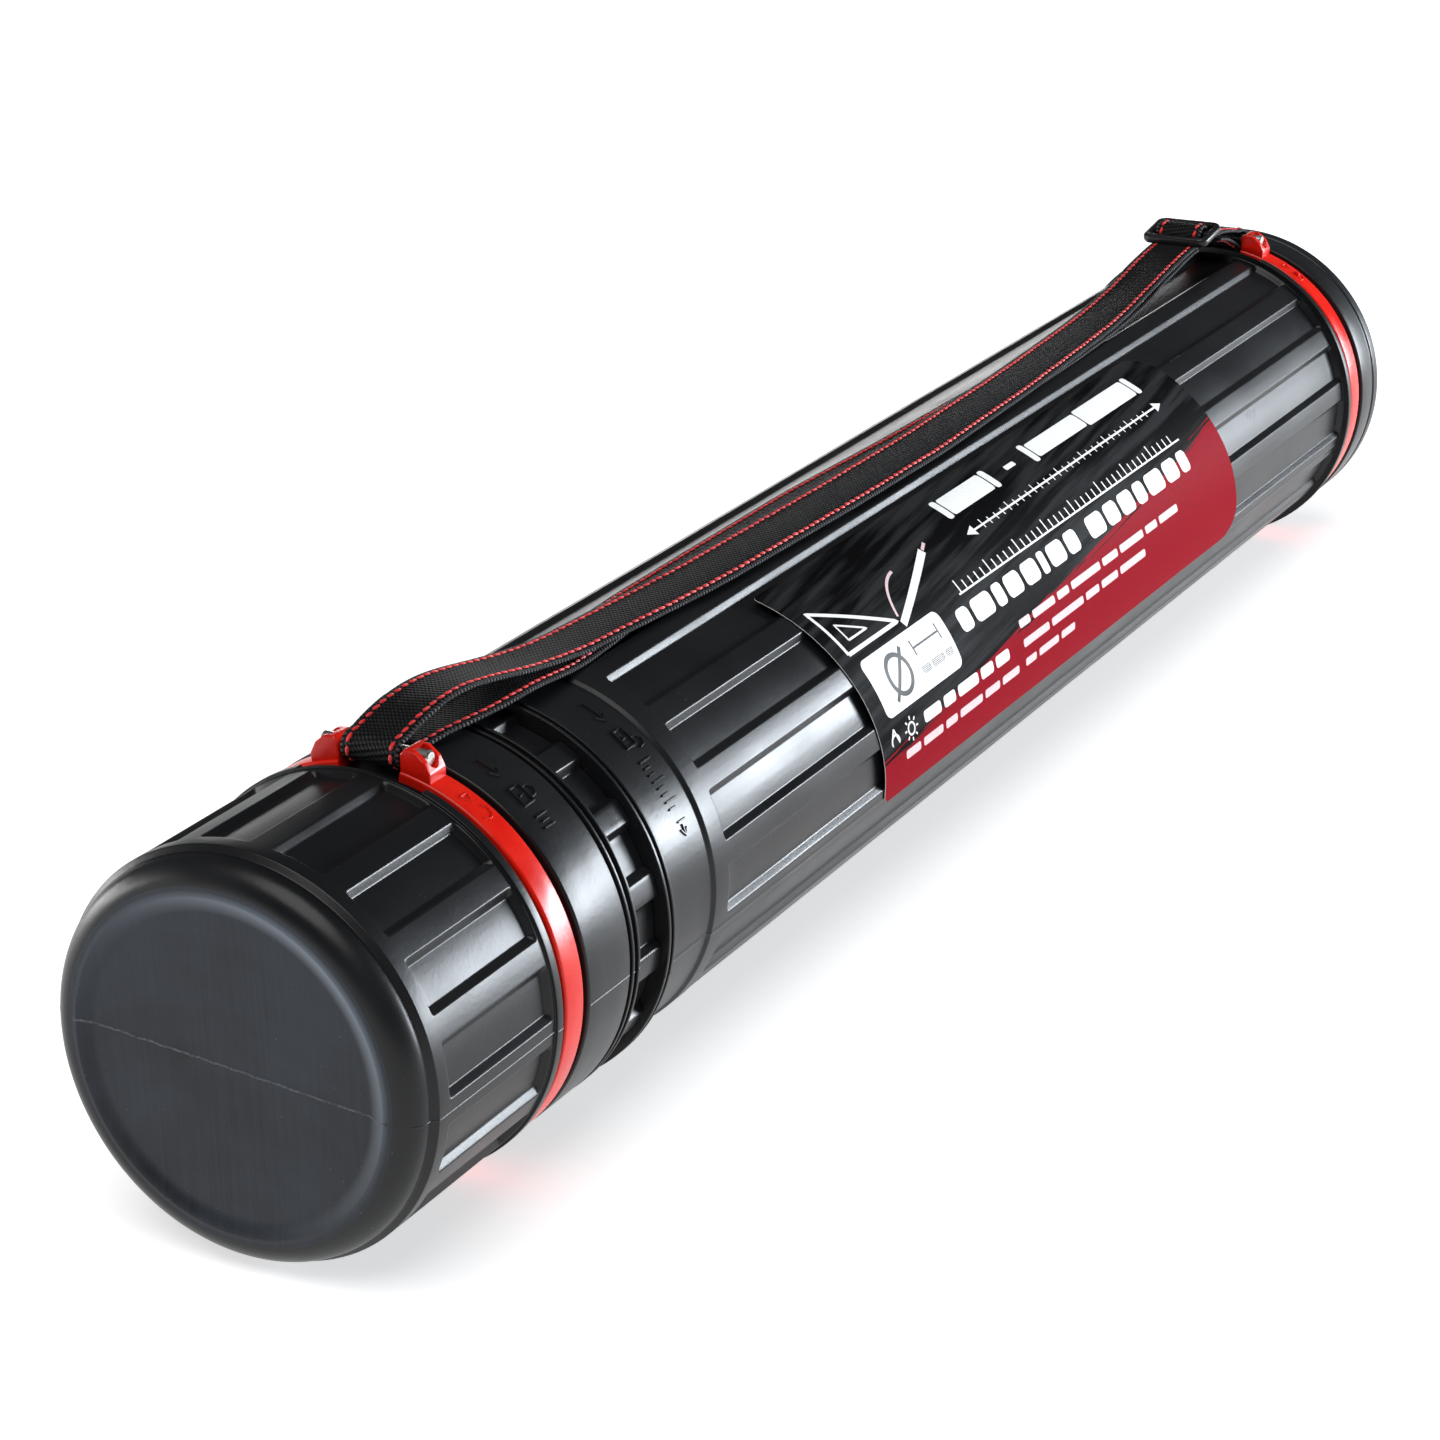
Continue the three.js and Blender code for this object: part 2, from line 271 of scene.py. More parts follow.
def blackPlastic(name, shade=0.0075, rough=(0.27, 0.38), peel=0.00003):
    finish = Finish(name)
    place = finish.place()
    cloudy = finish.noise(place, 22, 4)
    dust = finish.noise(place, 1500, 1)
    patch = finish.noise(place, 9, 3)
    speck = finish.above(finish.add(dust, finish.times(patch, 0.22)), moulded["speckLevel"])
    dark = (shade * 0.8, shade * 0.84, shade * 0.95)
    light = (shade * 1.3, shade * 1.36, shade * 1.5)
    base = finish.ramp(cloudy, dark, light, 0.3, 0.72)
    finish.put("Base Color", finish.mix(speck, base, moulded["speckColour"]))
    finish.put("Roughness", finish.ramp(cloudy, *rough))
    first = finish.bump(finish.noise(place, 30, 2), 0.0004, 0.35)
    finish.put("Normal", finish.bump(finish.noise(place, 620, 2), peel, 1, first))
    finish.put("Specular IOR Level", moulded["specular"])
    return finish.material


# the head's flat face is scuffed: fine upright brush lines, faint arcs and dust specks, with a painted highlight
# as a paler bloom on the upper right shoulder and painted shade darker towards the bottom
headFace = {
    "dark": (0.005, 0.0065, 0.0095),
    "light": (0.024, 0.031, 0.044),
    "paintedShadeRise": 1.6,  # painted shade: lighter for each metre up, darker towards the bottom
    "speckLevel": 0.8,
    "speckColour": (0.16, 0.17, 0.18),
    "paintedShineStart": 46.6,  # mm from the middle, where the painted highlight on the shoulder begins
    "paintedShineStartSoft": 4.4,
    "paintedShineEnd": 53.4,
    "paintedShineEndSoft": 2.2,
    "paintedShineAim": (0.66, 0.75),  # sideways and up, the way the painted highlight leans
    "paintedShineColour": (0.15, 0.175, 0.21),
}


# the paler shoulder is a painted highlight: a lighter base colour at the upper right, which stays where it is when
# the view or the lamps move
def paintedShoulderShine(finish, sideways, height):
    face = headFace
    rise = finish.less(height, axisZ)
    reach = finish.math("POWER", finish.add(finish.times(sideways, sideways), finish.times(rise, rise)), 0.5)
    inner = finish.times(finish.less(reach, face["paintedShineStart"] * mm), 1 / (face["paintedShineStartSoft"] * mm), True)
    outer = finish.times(finish.less(face["paintedShineEnd"] * mm, reach), 1 / (face["paintedShineEndSoft"] * mm), True)
    aim = finish.less(finish.times(rise, face["paintedShineAim"][1]), finish.times(sideways, face["paintedShineAim"][0]))
    aim = finish.add(finish.times(aim, 0.6 / (52 * mm)), 0.4, True)
    return finish.times(finish.times(inner, outer), finish.math("POWER", aim, 2.0))


def scuffedPlastic():
    finish = Finish("scuffedPlastic")
    place = finish.place()
    brushed = finish.noise(place, 1, 3, (0, 900, 26))
    broad = finish.noise(place, 26, 3)
    arcs = finish.nodes.new("ShaderNodeTexWave")
    arcs.wave_type = "RINGS"
    arcs.rings_direction = "X"
    arcs.inputs["Scale"].default_value = 30
    arcs.inputs["Distortion"].default_value = 7
    arcs.inputs["Detail"].default_value = 3
    finish.links.new(place, arcs.inputs["Vector"])
    mixed = finish.add(finish.times(brushed, 0.3), finish.times(broad, 0.7))
    mixed = finish.less(mixed, finish.times(arcs.outputs["Fac"], 0.035))
    speck = finish.above(finish.noise(place, 1300, 1), headFace["speckLevel"])
    _, sideways, height = finish.parts(place)
    # painted shade: the face's colour is lighter towards the top and darker towards the bottom
    paintedUpShade = finish.less(finish.times(height, headFace["paintedShadeRise"]), 0.1)
    mixed = finish.add(mixed, paintedUpShade)
    base = finish.ramp(mixed, headFace["dark"], headFace["light"], 0.3, 0.72)
    # painted highlight: a paler bluish base colour on the upper right shoulder of the face, standing in for light
    base = finish.mix(paintedShoulderShine(finish, sideways, height), base, headFace["paintedShineColour"])
    finish.put("Base Color", finish.mix(speck, base, headFace["speckColour"]))
    finish.put("Roughness", finish.ramp(mixed, 0.38, 0.52))
    first = finish.bump(broad, 0.0006, 0.3)
    finish.put("Normal", finish.bump(brushed, 0.00002, 0.5, first))
    finish.put("Specular IOR Level", moulded["specular"])
    return finish.material


def pinchedPlastic():
    finish = Finish("pinchedPlastic")
    crumbs = finish.noise(finish.place(), 900, 4)
    finish.put("Base Color", finish.ramp(crumbs, (0.04, 0.044, 0.052), (0.12, 0.13, 0.145), 0.35, 0.75))
    finish.put("Roughness", 0.42)
    finish.put("Normal", finish.bump(crumbs, 0.0002, 0.7))
    return finish.material


# glossy red plastic of the clip rings, a touch lighter where it is rubbed
def redPlastic():
    finish = Finish("redPlastic")
    place = finish.place()
    cloudy = finish.noise(place, 60, 4)
    finish.put("Base Color", finish.ramp(cloudy, (0.60, 0.006, 0.0015), (0.74, 0.014, 0.004)))
    finish.put("Roughness", finish.ramp(cloudy, 0.2, 0.33))
    first = finish.bump(finish.noise(place, 90, 2), 0.0003, 0.3)
    finish.put("Normal", finish.bump(finish.noise(place, 900, 2), 0.00002, 1, first))
    finish.put("Specular IOR Level", 0.35)
    return finish.material


def pinSteel():
    finish = Finish("pinSteel")
    drawn = finish.noise(finish.place(), 1, 3, (2500, 60, 2500))
    finish.put("Metallic", 1)
    finish.put("Base Color", finish.ramp(drawn, (0.5, 0.49, 0.47), (0.74, 0.73, 0.71)))
    finish.put("Roughness", finish.ramp(drawn, 0.18, 0.36))
    finish.put("Normal", finish.bump(drawn, 0.00003, 0.6))
    return finish.material


# an even material with a fine grain in its colour and its surface
def grainy(name, scale, detail, low, high, rough, distance, strength):
    finish = Finish(name)
    grain = finish.noise(finish.place(), scale, detail)
    finish.put("Base Color", finish.ramp(grain, low, high))
    finish.put("Roughness", rough)
    finish.put("Normal", finish.bump(grain, distance, strength))
    return finish


def sealRubber():
    dark, light = (0.018, 0.018, 0.019), (0.036, 0.036, 0.038)
    return grainy("sealRubber", 1400, 3, dark, light, 0.78, 0.00006, 0.8).material


def redThread():
    finish = grainy("redThread", 2200, 2, (0.62, 0.004, 0.005), (1.0, 0.02, 0.018), 0.5, 0.0002, 0.7)
    finish.put("Sheen Weight", 0.2)
    return finish.material


def printInk(name, light, dark):
    finish = grainy(name, 1100, 2, dark, light, 0.45, 0.00002, 0.5)
    finish.put("Specular IOR Level", 0.15)
    return finish.material


# black webbing: small slanting yarn bumps, a coarser and paler selvage at both edges, with painted light and shade
# following the yarns
webbing = {
    "yarnPitch": 1.7,  # mm, both ways
    "selvage": 9.0,  # mm from the middle
    "yarnLight": (0.062, 0.065, 0.07),
    "yarnDark": (0.0008, 0.0008, 0.001),
    "edgeLight": (0.17, 0.175, 0.185),
}


def webbingCloth():
    finish = Finish("webbingCloth")
    alongMm, acrossMm = finish.flatPlace()
    turns = 2 * math.pi / webbing["yarnPitch"]
    lean = finish.add(finish.times(alongMm, turns), finish.times(acrossMm, turns * 0.5))
    cross = finish.times(acrossMm, turns * 0.72)
    weave = finish.times(finish.math("SINE", lean), finish.math("SINE", cross))
    yarn = finish.add(finish.times(weave, 0.5), 0.5)
    fuzz = finish.noise(finish.place(), 2600, 2)
    worn = finish.noise(finish.place(), 70, 3)
    height = finish.add(yarn, finish.times(fuzz, 0.12))
    # painted light and shade: the colour follows the yarn bumps, lighter on their crowns and near black in the
    # hollows between yarns, varied by worn patches
    lit = finish.times(finish.math("POWER", yarn, 3.4), finish.add(finish.times(worn, 0.5), 0.4))
    cloth = finish.mix(lit, webbing["yarnDark"], webbing["yarnLight"])
    edge = finish.above(finish.math("ABSOLUTE", acrossMm), webbing["selvage"])
    ribs = finish.add(finish.times(finish.math("SINE", finish.times(alongMm, turns * 1.1)), 0.5), 0.5)
    # painted shade on the selvage too: near black between its ribs, lighter on their crowns
    edgeLit = finish.times(finish.math("POWER", ribs, 1.5), fuzz)
    border = finish.mix(edgeLit, webbing["yarnDark"], webbing["edgeLight"])
    finish.put("Base Color", finish.mix(edge, cloth, border))
    finish.put("Roughness", 0.6)
    finish.put("Specular IOR Level", 0.12)
    finish.put("Sheen Weight", 0.01)
    finish.put("Sheen Roughness", 0.4)
    finish.put("Normal", finish.bump(height, 0.0005, 0.9))
    return finish.material


# printed film: a black upper field with grey brush streaks over a crimson lower field
film = {
    "fieldStart": 74.6,  # mm down from the top edge, where the two fields meet at the left edge
    "fieldRise": 0.11,  # mm of rise for each mm along
    "ragged": 17,  # mm of brush marks where the fields meet
    "black": (0.0028, 0.0028, 0.003),
    "grey": (0.022, 0.023, 0.024),
    "crimson": (0.27, 0.003, 0.012),
    "crimsonDark": (0.20, 0.002, 0.009),
}


def labelFilm():
    finish = Finish("labelFilm")
    alongMm, downMm = finish.flatPlace()
    level = finish.add(downMm, finish.times(alongMm, film["fieldRise"]))
    bristle = finish.flatNoise(finish.times(alongMm, 0.012), finish.times(level, 0.42), 1.6, 5)
    ragged = finish.add(level, finish.times(finish.less(bristle, 0.5), film["ragged"]))
    lower = finish.times(finish.less(ragged, film["fieldStart"]), 2.5, True)
    streak = finish.flatNoise(finish.times(alongMm, 0.006), finish.times(level, 0.11), 2.0, 5)
    upper = finish.ramp(streak, film["black"], film["grey"], 0.44, 0.6)
    grain = finish.noise(finish.place(), 900, 2)
    crimson = finish.ramp(grain, film["crimsonDark"], film["crimson"])
    finish.put("Base Color", finish.mix(lower, upper, crimson))
    finish.put("Roughness", finish.ramp(grain, 0.46, 0.56))
    finish.put("Specular IOR Level", 0.015)
    finish.put("Normal", finish.bump(grain, 0.00002, 0.6))
    return finish.material


makeStudio()
finishes = {
    "plastic": blackPlastic("blackPlastic"),
    "buckle": blackPlastic("bucklePlastic", 0.009, (0.2, 0.32), 0.00002),
    "scuffed": scuffedPlastic(),
    "pinched": pinchedPlastic(),
    "red": redPlastic(),
    "steel": pinSteel(),
    "rubber": sealRubber(),
    "cloth": webbingCloth(),
    "thread": redThread(),
    "film": labelFilm(),
    "white": printInk("whiteInk", (0.86, 0.86, 0.85), (0.78, 0.78, 0.77)),
    "black": printInk("blackInk", (0.016, 0.016, 0.018), (0.009, 0.009, 0.01)),
    "pink": printInk("paleInk", (0.74, 0.56, 0.57), (0.64, 0.46, 0.47)),
}
print("materials made:", len(finishes))


# ---- mesh helpers ----
def onTube(station, radius, degrees):
    angle = np.radians(degrees)
    x = headX + np.asarray(station, float) * mm + 0 * angle
    y = -np.asarray(radius, float) * mm * np.sin(angle) + 0 * x
    z = axisZ + np.asarray(radius, float) * mm * np.cos(angle) + 0 * x
    return np.stack([x, y, z], -1)


def newShape():
    return {"points": [], "faces": [], "paint": [], "along": [], "count": 0}


def addPoints(shape, points, along=None):
    flat = np.asarray(points, float).reshape(-1, 3)
    first = shape["count"]
    shape["points"].append(flat)
    along = np.zeros((len(flat), 2)) if along is None else np.asarray(along, float).reshape(-1, 2)
    shape["along"].append(along)
    shape["count"] += len(flat)
    return first


def addFaces(shape, faces, paint=0):
    faces = [tuple(int(i) for i in face) for face in faces]
    shape["faces"].extend(faces)
    shape["paint"].extend([paint] * len(faces))


def gridFaces(index, wrapRows=False, wrapColumns=False):
    below = np.roll(index, -1, 0) if wrapRows else index[1:]
    above = index if wrapRows else index[:-1]
    if wrapColumns:
        corners = [above, np.roll(above, -1, 1), np.roll(below, -1, 1), below]
    else:
        corners = [above[:, :-1], above[:, 1:], below[:, 1:], below[:, :-1]]
    return np.stack(corners, -1).reshape(-1, 4)


# rows of points round the tube; poles close the ends, or the last row meets the first
def addRings(shape, rings, poles=None, paints=None, along=None):
    rings = np.asarray(rings, float)
    rows, columns = rings.shape[:2]
    index = addPoints(shape, rings, along) + np.arange(rows * columns).reshape(rows, columns)
    if paints is None:
        addFaces(shape, gridFaces(index, poles is None, True))
    else:
        for row in range(rows - 1):
            addFaces(shape, gridFaces(index[row:row + 2], False, True), paints[row])
        if poles is None:
            addFaces(shape, gridFaces(np.stack([index[-1], index[0]]), False, True), paints[-1])
    if poles is not None:
        for pole, ring, paint in ((poles[0], index[0][::-1], 0), (poles[1], index[-1], -1)):
            centre = addPoints(shape, [pole], None if along is None else [along[0][0]])
            addFaces(shape, [(centre, ring[i - 1], ring[i]) for i in range(columns)],
                     0 if paints is None else paints[paint])


# two matching grids of points, one above the other, closed round the border
def addSlab(shape, top, bottom, paint=0, edgePaint=None, along=None):
    rows, columns = top.shape[:2]
    upper = addPoints(shape, top, along) + np.arange(rows * columns).reshape(rows, columns)
    lower = addPoints(shape, bottom, along) + np.arange(rows * columns).reshape(rows, columns)
    addFaces(shape, gridFaces(upper), paint)
    addFaces(shape, gridFaces(lower)[:, ::-1], paint)
    rim = [np.concatenate([g[0, :-1], g[:-1, -1], g[-1, :0:-1], g[:0:-1, 0]]) for g in (upper, lower)]
    edgePaint = paint if edgePaint is None else edgePaint
    addFaces(shape, gridFaces(np.stack([rim[1], rim[0]]), False, True), edgePaint)


def finishShape(shape, name, materials, sharp=38):
    mesh = bpy.data.meshes.new(name)
    points = np.concatenate(shape["points"])
    mesh.from_pydata(points.tolist(), [], shape["faces"])
    along = np.concatenate(shape["along"])
    if np.any(along):
        attribute = mesh.attributes.new("along", "FLOAT_VECTOR", "POINT")
        attribute.data.foreach_set("vector", np.column_stack([along, np.zeros(len(along))]).ravel())
    mesh.polygons.foreach_set("material_index", shape["paint"])
    for material in materials:
        mesh.materials.append(finishes[material])
    piece = bpy.data.objects.new(name, mesh)
    scene.collection.objects.link(piece)
    tidyMesh(mesh, sharp)
    return piece


def tidyMesh(mesh, sharp):
    work = bmesh.new()
    work.from_mesh(mesh)
    bmesh.ops.recalc_face_normals(work, faces=work.faces)
    work.to_mesh(mesh)
    work.free()
    mesh.shade_smooth()
    mesh.set_sharp_from_angle(angle=math.radians(sharp))
    mesh.update()


# 0 to 1 with softly rounded corners
def softRamp(value, soft=0.12):
    def lift(t):
        return np.where(t < -soft, 0, np.where(t > soft, t, (t + soft) ** 2 / (4 * soft)))
    return lift(value) - lift(value - 1)


def window(values, start, end, wall):
    return softRamp((values - start) / wall) * softRamp((end - values) / wall)


# rounds each corner of a [station, radius] line and splits its long stretches
def profileRows(points, size, longest=8, extra=()):
    rows = [points[0]]
    for before, corner, after in zip(points, points[1:], points[2:]):
        a, b, c = (np.array(p[:2], float) for p in (before, corner, after))
        before, after = np.linalg.norm(a - b), np.linalg.norm(c - b)
        cut = min(corner[2] if len(corner) > 2 else size, 0.45 * before, 0.45 * after)
        start = b + (a - b) / max(before, 1e-9) * cut
        end = b + (c - b) / max(after, 1e-9) * cut
        for share in (0, 0.25, 0.5, 0.75, 1):
            rows.append(tuple((1 - share) ** 2 * start + 2 * share * (1 - share) * b + share ** 2 * end))
    rows.append(points[-1])
    split = []
    for (s0, r0), (s1, r1) in zip([p[:2] for p in rows], [p[:2] for p in rows[1:]]):
        length = math.hypot(s1 - s0, r1 - r0)
        shares = set(np.linspace(0, 1, max(1, math.ceil(length / longest)), endpoint=False))
        if abs(s1 - s0) > 0.5:
            shares |= {(e - s0) / (s1 - s0) for e in extra if 0 < (e - s0) / (s1 - s0) < 1}
        split += [(s0 + (s1 - s0) * t, r0 + (r1 - r0) * t) for t in sorted(shares)]
    split.append(rows[-1][:2])
    return split


def arcRows(station, radius, size, start, end, steps):
    angles = np.radians(np.linspace(start, end, steps + 1))
    return [(station + size * math.cos(a), radius + size * math.sin(a)) for a in angles]


# ---- the two tubes ----
tubes = {
    "bodyRadius": 61.9,
    "pocketDepth": 2.0,
    "ribCount": 16,
    "ribHalf": 3.5,  # degrees of flat rib top, each side
    "ribWall": 1.9,  # degrees of sloping wall
    "outerTurn": 14.9,
    "innerTurn": 5.1,
    "slideTurn": 9.0,
    "gripDepth": 2.7,
    "gripRadius": 61.5,  # the sliding part is as wide as the body where it meets the mouth
    "gripEnd": 134.6,
    "restRadius": 64.5,  # far rim
    "mouthRadius": 64.0,
    "grooveRadius": 59.9,
    "rimGap": 19,  # degrees each side of the top, where the strap passes
    "adjustRadius": 60.9,
    "seamHeight": 0.16,
    "seamHalf": 0.16,  # degrees
    "mouthBore": 58,
    "mouthLip": 58.4,
    "neckRadius": 57.6,
    "neckBore": 54.6,
    "threadRadius": 58.4,
    "threads": (749.5, 753.5, 757.5),
    "stepRadius": 61,
    "slideRadius": 57,
    "slideBore": 53.2,
    "slideDepth": 2.1,
    "slideEnd": 700,
    "faceBack": 4.6,  # inner side of the head's face
}
headSpan = {
    "flankStart": 9.0,
    "flankEnd": 10.5,
    "barrelRadius": 63.0,
    "pockets": (15.6, 69.8),
    "rim": (70.8, 74.0),
    "rimRadius": 63.9,
    "inside": ((120, 53.2), (114, 55), (112, 57.6), (16, 58.4), (9.5, 57.6), (5.6, 55.4)),  # station, radius
}
lockSpan = {
    "band": (89.0, 112.8),
    "bandRadius": 63.4,
    "flanges": ((114.0, 115.2), (117.2, 118.4)),
    "flangeRadius": 63.6,
}
mouthSpan = {"flanges": ((135.0, 136.3), (137.7, 139.0)), "bodyStart": 167.5, "pockets": (176.0, 726.8)}
farSpan = {"rim": (726.8, 730.0), "neckStart": 746.2, "neckEnd": 762.0}
lockLugs = {"span": (146, 154), "depth": 2.1, "half": 1.7, "centre": 25.15, "count": 8}


def ribColumns(turn, extra=()):
    half, wall = tubes["ribHalf"], tubes["ribWall"]
    offsets = {0, 0.14, 0.34, 1.8, 2.8, 8.3}
    for edge in (half, half + wall):
        offsets |= {edge + step for step in (-0.4, -0.2, 0, 0.2, 0.4)}
    offsets |= {half + wall * share for share in (0.35, 0.65)}
    pitch = 360 / tubes["ribCount"]
    angles = {round((turn + i * pitch + side * o) % 360, 4)
              for i in range(tubes["ribCount"]) for o in offsets for side in (1, -1)}
    angles |= {round((turn + (i + 0.5) * pitch) % 360, 4) for i in range(tubes["ribCount"])}
    angles |= {round(a % 360, 4) for a in extra}
    ordered = sorted(angles)
    return np.array([a for a, b in zip(ordered, ordered[1:] + [ordered[0] + 360]) if b - a > 0.05])


def slideColumns():
    edges = (-0.3, 0, 0.3, 0.95, 1.6, 1.9, 2.2)
    steps = [side * (tubes["ribHalf"] + edge) for side in (1, -1) for edge in edges]
    turns = [tubes["slideTurn"] + i * 360 / tubes["ribCount"] for i in range(tubes["ribCount"])]
    return [turn + step for turn in turns for step in steps]


def offRib(angles, turn):
    pitch = 360 / tubes["ribCount"]
    return np.abs((angles - turn + pitch / 2) % pitch - pitch / 2)


def ribShare(angles, turn):
    return 1 - softRamp((offRib(angles, turn) - tubes["ribHalf"]) / tubes["ribWall"])


def fromTop(angles):
    return np.abs((angles + 180) % 360 - 180)


def seamLift(angles, turn):
    off = np.minimum(fromTop(angles - turn - 90), fromTop(angles - turn + 90))
    return tubes["seamHeight"] * np.exp(-(off / tubes["seamHalf"]) ** 2)


# slow ripples of blown plastic, worked out so that the surface closes on itself
def ripple(station, angles):
    turn = np.radians(angles)
    return (0.035 * np.sin(station * 0.021 + 3 * turn) + 0.03 * np.sin(station * 0.047 - 5 * turn + 1.3)
            + 0.02 * np.sin(station * 0.11 + 9 * turn + 0.7))


def pocketStations(start, end):
    steps = (-0.5, -0.2, 0, 0.2, 0.5, 0.8, 1.1, 1.4, 1.9)
    return [start + s for s in steps] + [end - s for s in steps]


gapColumns = [side * (tubes["rimGap"] + step) for side in (1, -1) for step in (-0.15, 0.05, 0.3, 0.6, 0.85)]


def cutRim(radii, station, angles, rim):
    if rim[0] + 0.15 < station <= rim[1] + 0.1:
        keep = softRamp((fromTop(angles) - tubes["rimGap"]) / 0.7)
        return tubes["grooveRadius"] + (radii - tubes["grooveRadius"]) * keep
    return radii


def makeOuterTube():
    t = tubes
    mouth, far = mouthSpan, farSpan
    flanges = []
    for start, end in mouth["flanges"]:
        flanges += [(start, t["mouthRadius"]), (end, t["mouthRadius"]), (end, t["adjustRadius"])]
        if end != mouth["flanges"][-1][1]:
            flanges += [(mouth["flanges"][1][0], t["adjustRadius"])]
    start = mouth["flanges"][0][0]
    neck, bore, thread = t["neckRadius"], t["neckBore"], t["threadRadius"]
    pockets = (mouth["pockets"][0], mouth["pockets"][1] - 0.4)
    rimStart, rimEnd = far["rim"]
    line = [(start, t["mouthLip"]), *flanges, (mouth["bodyStart"] - 1.6, t["adjustRadius"]),
            (mouth["bodyStart"], t["bodyRadius"]), (rimStart, t["bodyRadius"]), (rimStart, t["restRadius"]),
            (rimEnd, t["restRadius"]), (rimEnd, t["grooveRadius"]),
            (far["neckStart"] - 0.2, t["grooveRadius"]), (far["neckStart"] - 0.2, neck)]
    for turn in t["threads"]:
        line += [(turn, neck), (turn + 0.3, thread), (turn + 1.3, thread), (turn + 1.6, neck)]
    line += [(far["neckEnd"], neck), (far["neckEnd"], bore)]
    outside = profileRows(line, 0.35, 9, pocketStations(*pockets))
    lugStations = [lockLugs["span"][0] + s for s in (-0.2, 0.1, 0.4, 0.7)]
    lugStations += [lockLugs["span"][1] - s for s in (-0.2, 0.1, 0.4, 0.7)]
    inside = [(far["neckEnd"], bore), (far["neckStart"] - 5, bore), (far["neckStart"] - 5, t["mouthBore"]),
              (start, t["mouthBore"]), (start, t["mouthLip"])]
    inside = profileRows(inside, 0.4, 60, lugStations)[1:-1]
    lugAngles = [lockLugs["centre"] + i * 45 + side * (lockLugs["half"] + step)
                 for i in range(lockLugs["count"]) for side in (1, -1) for step in (-0.3, 0, 0.3)]
    angles = ribColumns(t["outerTurn"], [*gapColumns, *lugAngles])
    rings = []
    for station, radius in outside:
        radii = np.full(len(angles), radius)
        if mouth["bodyStart"] < station < far["rim"][0] + 0.01:
            pocket = window(np.array(station), *pockets, 1.4)
            radii -= t["pocketDepth"] * pocket * (1 - ribShare(angles, t["outerTurn"]))
        if station < far["neckStart"]:
            radii += seamLift(angles, t["outerTurn"])
            radii += ripple(station, angles)
        rings.append(onTube(station, cutRim(radii, station, angles, far["rim"]), angles))
    for station, radius in inside:
        off = np.abs((angles - lockLugs["centre"] + 22.5) % 45 - 22.5)
        lug = window(np.array(station), *lockLugs["span"], 0.6) * (abs(radius - t["mouthBore"]) < 0.1)
        lug = lug * (1 - softRamp((off - lockLugs["half"] + 0.3) / 0.5))
        rings.append(onTube(station, radius - lockLugs["depth"] * lug, angles))
    shape = newShape()
    addRings(shape, rings)
    mouthMarks(shape)
    piece = finishShape(shape, "outerTube", ["plastic"])
    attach(piece, "outer")
    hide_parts("outer_tube")
    print("outer tube:", len(piece.data.vertices), "points")


def dishDepth(radius):
    wall = min(1, max(0, (52.4 - radius) / 6.2))
    return 0.03 + (1.95 - 0.35 * (radius / 52) ** 2) * wall * wall * (3 - 2 * wall)


